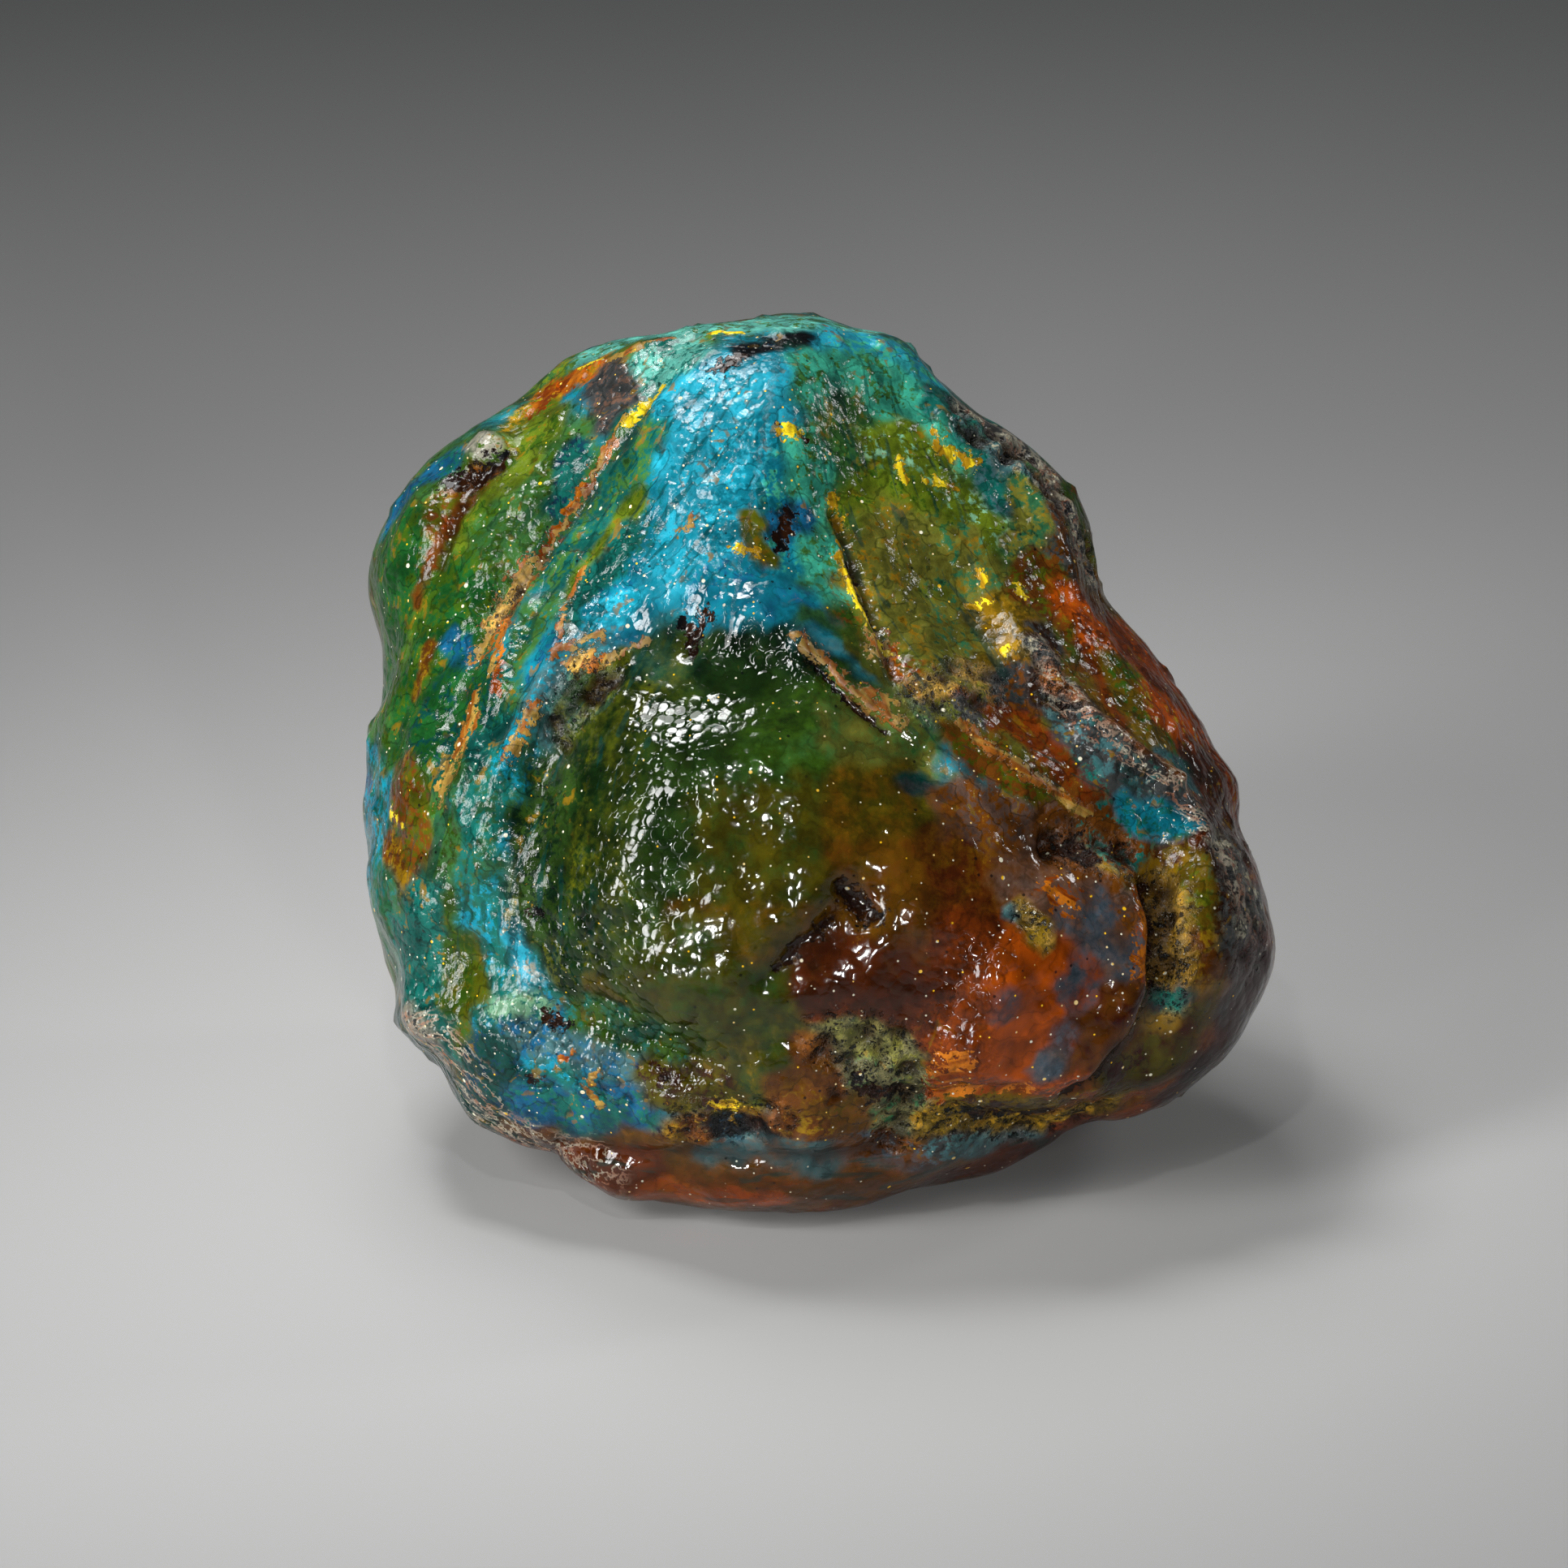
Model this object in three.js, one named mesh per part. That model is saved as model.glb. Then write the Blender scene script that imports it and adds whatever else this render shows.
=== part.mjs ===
// A nodule of rough blue amber, lying on the worn flat of its underside.
// Millimetres, +Z up. The origin is under the middle of the nodule's box, on the surface it rests on.
//
// The nodule is one solid: lobes that run into each other, marked by folds, cracks, ledges, pits and
// knobs, with low lumps all over. Its form is worked out in face axes: across (+X), up the face, and
// out of the face. The face leans back, so it looks forward (-Y) and upward. A place on the surface is
// given by where it is seen from a point in front of the face, as [across, up] on the plane through
// the nodule's middle. Places on the back are seen through the nodule from the same point.
import * as THREE from "three";
import { mergeVertices } from "three/addons/utils/BufferGeometryUtils.js";
import { ImprovedNoise } from "three/addons/math/ImprovedNoise.js";

// Driving dimensions
const WIDTH = 58; // along X, the nodule's longest side
const FACE_LEAN = THREE.MathUtils.degToRad(22); // how far the face leans back
const MIDDLE_HEIGHT = 24.4; // of the face axes' origin above the worn flat
const FLAT_EDGE_SOFT = 1.5; // how far the edge of the worn flat is rounded
const VIEW_DISTANCE = 400; // from the point that places are seen from to the face axes' origin
const LUMP_SPACING = 7; // of the low lumps all over
const LUMP_HEIGHT = 0.8;
const MESH_DETAIL = 21; // each face of the starting icosahedron is cut into (MESH_DETAIL + 1)^2
const START_AT = new THREE.Vector3(-1, -1, -4); // middle of the ellipsoid the mesh starts from
const START_HALF = new THREE.Vector3(27, 27, 20);
const SPREAD_PASSES = 20;
const FLAT_DEPTH = 0.03; // points this close to the worn flat lie on it

// The lobes, joined one after another. Each is an ellipsoid: its middle and half-lengths in face axes,
// and how softly it runs into those before it.
const LOBES = [
  { name: "core", at: [-2, -3, -5], half: [22, 21, 18.5], soft: 0 },
  { name: "belly", at: [-3, -7.5, 4.5], half: [17, 16.5, 13], soft: 5 },
  { name: "belly_right", at: [7, -8, 3.5], half: [13, 11.5, 10.5], soft: 6 },
  { name: "crown", at: [-4, 15.2, -8], half: [15, 12.6, 11.5], soft: 6 },
  { name: "crown_left", at: [-11.6, 19, -9], half: [7.2, 8, 9], soft: 5 },
  { name: "crown_right", at: [1.5, 21, -8.5], half: [6.3, 6.9, 7.5], soft: 4 },
  { name: "spine", at: [-5, 13, -0.5], half: [7.5, 13, 8], soft: 8 },
  { name: "left_shoulder", at: [-20.3, 12.3, -8], half: [8.5, 8.8, 11], soft: 6 },
  { name: "left_flank", at: [-19, 4.5, -6], half: [7.2, 8.6, 12], soft: 5 },
  { name: "left_hip", at: [-19.3, -5.5, -3], half: [9.7, 9.6, 12], soft: 6 },
  { name: "left_foot", at: [-16.4, -14, -2], half: [9, 9, 12], soft: 5 },
  { name: "right_shoulder", at: [8.4, 13, -7], half: [8.6, 8.7, 9.5], soft: 6 },
  { name: "right_flank", at: [16.4, -0.8, -6.5], half: [8.6, 9, 11], soft: 6 },
  { name: "right_foot", at: [20.2, -11, -2.5], half: [8.6, 8.7, 12], soft: 5 },
  { name: "amber_knuckle", at: [13, -12.5, 6.5], half: [6.8, 7.8, 6.5], soft: 5 },
  { name: "right_toe", at: [12, -16, 0], half: [10.8, 8.1, 10.5], soft: 6 },
  { name: "toe", at: [-2.2, -19.1, 2.5], half: [13.4, 9.2, 9], soft: 5 },
  { name: "heel", at: [0, -13, -14], half: [17, 11, 9], soft: 7 },
];

// Folds stand up from the lobes, and cracks run into them: a crack's height is below zero. Each
// follows a path over the face, and has faded at its width from that path.
const FOLDS = [
  { name: "spine_line", width: 2.6, height: 0.6, path: [[-0.5, 27.5], [-3.5, 22], [-6, 10]] },
  {
    name: "left_drapery",
    width: 1.5,
    height: 0.6,
    path: [[-7.6, 19.8], [-11.2, 15.7], [-14.2, 11.6], [-16.3, 8], [-18.3, 4], [-20, -1], [-21, -6]],
  },
  { name: "inner_drapery", width: 1.3, height: 0.5, path: [[-7.5, 15], [-11, 11.2], [-14.5, 8], [-17, 3.5]] },
  {
    name: "gold_crack",
    width: 1.6,
    height: -0.6,
    path: [[-10, 24.6], [-12.2, 20.8], [-14, 17.7], [-18.8, 11.4], [-21, 8], [-22.4, 4.5], [-24, -2.7]],
  },
  {
    name: "tan_crust",
    width: 1.2,
    height: 0.6,
    path: [[-18.2, 10.4], [-19.8, 7], [-20.9, 4], [-21.9, 0.5], [-23, -2]],
  },
  {
    name: "crust_vein",
    width: 1.2,
    height: 0.5,
    path: [[-16.3, 10.1], [-17.3, 6], [-18.6, 3], [-19.8, 0.4]],
  },
  {
    name: "corner_crack",
    width: 1.3,
    height: -0.7,
    path: [[-20.8, 18.9], [-22, 17.5], [-22.9, 15.7], [-23.9, 12.6]],
  },
  {
    name: "left_seam",
    width: 2,
    height: -0.3,
    path: [[-16, 3], [-18, -1.2], [-19.6, -6], [-20.4, -11], [-19, -14]],
  },
  { name: "slope_crack", width: 1.2, height: -0.7, path: [[0.8, 16.2], [2.1, 12.6], [3.4, 9.6], [4.6, 6]] },
  { name: "tan_vein", width: 1.3, height: 0.8, path: [[-1, 8.1], [1.1, 6], [3.6, 3.8], [5.4, 3]] },
  {
    name: "top_right_ridge",
    width: 1.3,
    height: 0.8,
    path: [[4.6, 26.6], [7, 23.6], [10.8, 20.6], [13.4, 18.6], [15, 15.6], [16.4, 12]],
  },
  {
    name: "silver_ridge",
    width: 1.7,
    height: 1.5,
    path: [[13, 8], [15.9, 4.5], [18.4, 1.9], [21.5, -0.6], [23.5, -2.7], [24.4, -6], [23.6, -13]],
  },
  { name: "far_right_fold", width: 1.3, height: 0.8, path: [[16.5, 9], [19, 6], [21.6, 3.4], [24, 0.5]] },
  {
    name: "knuckle_lip",
    width: 1.3,
    height: 0.9,
    path: [[16.4, -4.8], [19, -6.8], [20, -9.8], [20, -13.4], [19, -16.4], [16.8, -18.8], [14.3, -20]],
  },
  {
    name: "knuckle_groove",
    width: 1.6,
    height: -1.2,
    path: [[20.8, -7], [21.6, -9.4], [21.7, -12.3], [20.9, -16], [18.6, -19.2], [15.4, -21], [11.3, -21.8]],
  },
  {
    name: "lower_left_trough",
    width: 1.8,
    height: -1,
    path: [[-18.8, -12.3], [-15.8, -14.4], [-11.2, -16.4], [-7.6, -18.5]],
  },
  {
    name: "under_seam",
    width: 1.2,
    height: -0.7,
    path: [[-15.8, -23], [-10.7, -24.1], [-5.6, -24.6], [0, -24.4], [5, -23.6]],
  },
];

// Below a ledge the surface drops by its step, and it comes back over its reach. The low side is on
// the right of the path. The drop is soft wide.
const LEDGES = [
  {
    name: "hood",
    step: 1.5,
    soft: 0.8,
    reach: 4,
    path: [
      [-18, -1.2], [-15.3, 4], [-11.7, 6.9], [-8.1, 8.8], [-5.3, 9.3], [-2.5, 9],
      [-0.4, 7.6], [2.1, 5.2], [5.2, 2.7], [8.7, -0.1], [12.8, -2], [16.9, -3.2],
    ],
  },
  {
    name: "crust_edge",
    step: 1.1,
    soft: 0.4,
    reach: 2.2,
    path: [[-1, -15.8], [2.6, -16.2], [5.4, -17.2], [6.6, -19.6], [6.2, -22]],
  },
  {
    name: "crust_shelf",
    step: 1.8,
    soft: 0.4,
    reach: 2.6,
    path: [[4.4, -21.4], [8.7, -21.4], [12.3, -22], [16, -21]],
  },
  {
    name: "left_step",
    step: 0.8,
    soft: 0.5,
    reach: 3,
    path: [[-26, -4], [-23, -4.6], [-21.5, -8], [-21.6, -13]],
  },
  {
    name: "slope_step",
    step: 0.7,
    soft: 0.5,
    reach: 3,
    path: [[4.5, 22], [5.5, 17], [8.5, 12.5], [11, 9], [12.5, 5.5]],
  },
];

// Knobs stand up and pits go in: a pit's height is below zero. A spot has faded at its radius.
const SPOTS = [
  { name: "glass_knob", at: [-3.6, 9.2], radius: 2, height: 1.1 },
  { name: "knob_pit", at: [-8.2, 9.3], radius: 1.3, height: -1 },
  { name: "left_knob", at: [-25.2, -15.8], radius: 1.5, height: 1.1 },
  { name: "corner_bead", at: [-21, 20], radius: 1.4, height: 1 },
  { name: "belly_pit", at: [2.2, -8.2], radius: 1.6, height: -1.6 },
  { name: "belly_trail_high", at: [0.5, -9.8], radius: 1.3, height: -0.9 },
  { name: "belly_trail", at: [-1.1, -11.4], radius: 1.3, height: -0.8 },
  { name: "belly_trail_low", at: [-2.6, -13], radius: 1.3, height: -0.6 },
  { name: "knuckle_pit", at: [11.8, -9.2], radius: 1.3, height: -1 },
  { name: "knuckle_hollow", at: [16.4, -4.6], radius: 1.6, height: -0.8 },
  { name: "trough_pit", at: [-16.4, -15.7], radius: 1.3, height: -1.1 },
  { name: "toe_pit", at: [-5, -22.3], radius: 1.8, height: -1.7 },
  { name: "hood_dimple", at: [6.2, -1], radius: 1.3, height: -0.7 },
  { name: "right_point", at: [26, -0.8], radius: 1.3, height: 1.2 },
  { name: "slate_bump_high", at: [26.2, -6.6], radius: 1.7, height: 0.8 },
  { name: "slate_bump_low", at: [27, -10.8], radius: 1.7, height: 0.7 },
  { name: "left_dome_high", at: [-22.8, 5.6], radius: 1.3, height: 0.6 },
  { name: "left_dome_low", at: [-24, 0.6], radius: 1.3, height: 0.6 },
];

// The same for the back.
const BACK_FOLDS = [
  { name: "back_crack", width: 1.3, height: -0.9, path: [[-14, 20], [-9, 14], [-6, 6], [1, 0], [4, -8]] },
  { name: "back_branch", width: 1.3, height: -0.7, path: [[-6, 6], [-13, 3], [-19, -3]] },
  { name: "back_ridge", width: 2, height: 1, path: [[8, 18], [12, 10], [13, 2], [18, -6]] },
];
const BACK_LEDGES = [
  {
    name: "back_step",
    step: 1.2,
    soft: 0.6,
    reach: 5,
    path: [[20, 4], [10, -4], [0, -9], [-12, -8], [-22, -12]],
  },
];
const BACK_SPOTS = [
  { name: "back_scoop", at: [-7, -15], radius: 6, height: -1.6 },
  { name: "back_hollow", at: [3, 12], radius: 4, height: -1.1 },
  { name: "back_pit", at: [9, -12], radius: 1.5, height: -1.2 },
  { name: "back_knob", at: [-17, 10], radius: 2.2, height: 1.2 },
];

const noise = new ImprovedNoise();

function ellipsoid(p, { at, half }) {
  const across = (p.x - at[0]) / half[0];
  const up = (p.y - at[1]) / half[1];
  const out = (p.z - at[2]) / half[2];
  const reach = Math.hypot(across, up, out);
  const slope = Math.hypot(across / half[0], up / half[1], out / half[2]);
  return (reach * (reach - 1)) / slope;
}

// The lower of two distances, rounded where they are within soft of each other.
function softMin(a, b, soft) {
  const near = Math.max(soft - Math.abs(a - b), 0) / soft;
  return Math.min(a, b) - (near * near * soft) / 4;
}

const body = (p) =>
  LOBES.reduce((d, lobe, i) => (i ? softMin(d, ellipsoid(p, lobe), lobe.soft) : ellipsoid(p, lobe)), 0);

// How far x, y is from a path: above zero on its left, below zero on its right.
function fromPath(x, y, path) {
  let nearest = Infinity;
  let side = 1;
  for (let i = 1; i < path.length; i++) {
    const [ax, ay] = path[i - 1];
    const dx = path[i][0] - ax;
    const dy = path[i][1] - ay;
    const share = THREE.MathUtils.clamp(((x - ax) * dx + (y - ay) * dy) / (dx * dx + dy * dy), 0, 1);
    const distance = Math.hypot(x - ax - share * dx, y - ay - share * dy);
    if (distance < nearest) {
      nearest = distance;
      side = Math.sign(dx * (y - ay) - dy * (x - ax)) || 1;
    }
  }
  return nearest * side;
}

const hump = (distance, width) => Math.exp(-((distance / width) ** 2));

function marks(x, y, folds, ledges, spots) {
  let height = 0;
  for (const fold of folds) {
    height += fold.height * hump(fromPath(x, y, fold.path), fold.width);
  }
  for (const ledge of ledges) {
    const side = fromPath(x, y, ledge.path);
    const low = 1 / (1 + Math.exp(side / ledge.soft));
    height -= ledge.step * low * Math.exp(-Math.abs(side) / ledge.reach);
  }
  for (const spot of spots) {
    height += spot.height * hump(Math.hypot(x - spot.at[0], y - spot.at[1]), spot.radius);
  }
  return height;
}

function lumps(p) {
  let height = 0;
  for (const octave of [1, 2]) {
    const scale = octave / LUMP_SPACING;
    height += (LUMP_HEIGHT / octave) * noise.noise(p.x * scale + 30, p.y * scale + 50, p.z * scale + 70);
  }
  return height;
}

function relief(p) {
  const spread = VIEW_DISTANCE / (VIEW_DISTANCE - p.z);
  const x = p.x * spread;
  const y = p.y * spread;
  const front = THREE.MathUtils.smoothstep(p.z, -9, -3);
  const back = THREE.MathUtils.smoothstep(-p.z, 10, 15);
  let height = lumps(p);
  if (front > 0) height += front * marks(x, y, FOLDS, LEDGES, SPOTS);
  if (back > 0) height += back * marks(x, y, BACK_FOLDS, BACK_LEDGES, BACK_SPOTS);
  return height;
}

const heightAboveFlat = (p) => p.y * Math.cos(FACE_LEAN) + p.z * Math.sin(FACE_LEAN) + MIDDLE_HEIGHT;

const nodule = (p) => -softMin(relief(p) - body(p), heightAboveFlat(p), FLAT_EDGE_SOFT);

// A point near the surface moves straight onto it.
function settle(p) {
  const step = 0.02;
  const here = nodule(p);
  const slope = new THREE.Vector3(
    nodule(new THREE.Vector3(p.x + step, p.y, p.z)) - here,
    nodule(new THREE.Vector3(p.x, p.y + step, p.z)) - here,
    nodule(new THREE.Vector3(p.x, p.y, p.z + step)) - here,
  ).divideScalar(step);
  const move = -here / Math.max(slope.lengthSq(), 0.25);
  p.addScaledVector(slope, THREE.MathUtils.clamp(move, -2, 2));
}

function middleOf(points) {
  const sum = new THREE.Vector3();
  for (const p of points) sum.add(p);
  return sum.divideScalar(points.length);
}

// A sphere's mesh settles onto the nodule. Between settlings each point moves to the middle of the
// points beside it, which spreads them evenly.
function settledSphere() {
  const sphere = new THREE.IcosahedronGeometry(1, MESH_DETAIL);
  sphere.deleteAttribute("normal");
  sphere.deleteAttribute("uv");
  const geometry = mergeVertices(sphere, 1e-5);
  const position = geometry.getAttribute("position");
  const corners = geometry.index.array;
  const points = [];
  const beside = [];
  for (let i = 0; i < position.count; i++) {
    points.push(new THREE.Vector3().fromBufferAttribute(position, i).multiply(START_HALF).add(START_AT));
    beside.push([]);
  }
  for (let i = 0; i < corners.length; i += 3) {
    beside[corners[i]].push(points[corners[i + 1]]);
    beside[corners[i + 1]].push(points[corners[i + 2]]);
    beside[corners[i + 2]].push(points[corners[i]]);
  }
  for (let pass = 0; pass < SPREAD_PASSES; pass++) {
    const middles = beside.map(middleOf);
    points.forEach((p, i) => settle(p.copy(middles[i])));
  }
  for (let pass = 0; pass < 4; pass++) points.forEach(settle);
  points.forEach((p, i) => position.setXYZ(i, p.x, p.y, p.z));
  return geometry;
}

// The nodule in the part's own axes, lying on its worn flat and brought to its width.
function noduleGeometry() {
  const geometry = settledSphere();
  geometry.rotateX(Math.PI / 2 - FACE_LEAN);
  geometry.translate(0, 0, MIDDLE_HEIGHT);
  const position = geometry.getAttribute("position");
  for (let i = 0; i < position.count; i++) {
    if (position.getZ(i) < FLAT_DEPTH) position.setZ(i, 0);
  }
  geometry.computeBoundingBox();
  const box = geometry.boundingBox;
  geometry.translate(-(box.min.x + box.max.x) / 2, -(box.min.y + box.max.y) / 2, 0);
  const scale = WIDTH / (box.max.x - box.min.x);
  geometry.scale(scale, scale, scale);
  return geometry;
}

const amber = new THREE.MeshStandardMaterial({ color: 0x2f6a55, roughness: 0.25, metalness: 0 });
const amberNodule = new THREE.Mesh(noduleGeometry(), amber);
amberNodule.name = "amber_nodule";
const specimen = new THREE.Group();
specimen.add(amberNodule);
export default specimen;
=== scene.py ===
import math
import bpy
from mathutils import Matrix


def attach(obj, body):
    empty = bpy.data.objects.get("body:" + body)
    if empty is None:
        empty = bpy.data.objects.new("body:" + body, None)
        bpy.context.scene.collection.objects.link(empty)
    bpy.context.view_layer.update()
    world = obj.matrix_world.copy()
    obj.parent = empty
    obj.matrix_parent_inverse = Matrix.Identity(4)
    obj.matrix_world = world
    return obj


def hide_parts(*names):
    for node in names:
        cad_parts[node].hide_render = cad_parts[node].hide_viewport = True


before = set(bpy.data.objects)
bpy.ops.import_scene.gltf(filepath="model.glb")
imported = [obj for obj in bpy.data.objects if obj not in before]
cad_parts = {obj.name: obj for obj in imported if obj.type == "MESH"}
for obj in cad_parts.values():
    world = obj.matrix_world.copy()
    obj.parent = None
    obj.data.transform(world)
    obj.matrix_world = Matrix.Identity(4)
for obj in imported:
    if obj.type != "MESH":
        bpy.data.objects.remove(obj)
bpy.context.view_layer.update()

# A rough blue amber nodule on a pale studio floor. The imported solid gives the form. Here it is made
# finer, marked with its cracks, veins, pits and crust, painted, and given a wet amber material.
# Lengths are in millimetres until a mesh is made, and colours are sRGB until they are used.
from types import SimpleNamespace

import bpy
import numpy as np
from mathutils import Vector

# The face axes: across (+X), up the leaning face, and out of it. Their origin is in the part's frame.
FACE_LEAN = math.radians(22)
FACE_ORIGIN = np.array([0.04, -2.44, 24.39])
FACE_AXES = np.array([
    [1, 0, 0],
    [0, math.sin(FACE_LEAN), math.cos(FACE_LEAN)],
    [0, -math.cos(FACE_LEAN), math.sin(FACE_LEAN)],
])

# The camera stands straight out from the face. It aims at a place on it, and sees a width of it.
VIEW_DISTANCE = 400
VIEW_AIM = (-2.19, -0.92)
VIEW_WIDTH = 98.5
SENSOR_WIDTH = 36

# How strong the paint is under the soft boxes, and how far a vein's distance is followed, as a
# share of its reach.
PAINT_STRENGTH = 0.5
FAR = 3.0

# Noise takes its slopes from a random table, by a hash of the cell's three numbers.
SLOPES = 4096
HASH = np.array([73856093, 19349663, 83492791])

PALETTE = {
    "sky": "#30bad6", "cerulean": "#1498b0", "blue": "#176a94", "navy": "#123c50",
    "grey_blue": "#4f7c80", "teal": "#187468", "deep_teal": "#0a4a42", "sea_green": "#347048",
    "emerald": "#20662a", "moss": "#3e6214", "deep_green": "#183510", "bottle": "#0f2a14",
    "pale_green": "#94d2a5", "olive": "#60660f", "gold_olive": "#775f0e", "ochre": "#9a7412",
    "tan": "#b08c3e", "gold": "#d8a818", "yellow": "#f2d424", "orange": "#d25c08",
    "rust": "#8c3c08", "amber_red": "#7c3606", "red_brown": "#602806", "dark_brown": "#3a1c08",
    "brown": "#784410", "pinkish": "#b07458", "silver": "#b4b09c", "slate": "#4a4c4c",
    "purple_grey": "#74584a", "black": "#0c0e11", "bright_teal": "#46c0a0", "leaf": "#427838",
    "lichen": "#70861c", "khaki": "#78782c", "forest": "#32501a", "umber_olive": "#5c5408",
    "amber": "#784e06", "haze_blue": "#52626e", "fire": "#cc7418", "drab": "#6c6a48", "aqua": "#78dcc8",
    "maroon": "#3c1008",
}

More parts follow.
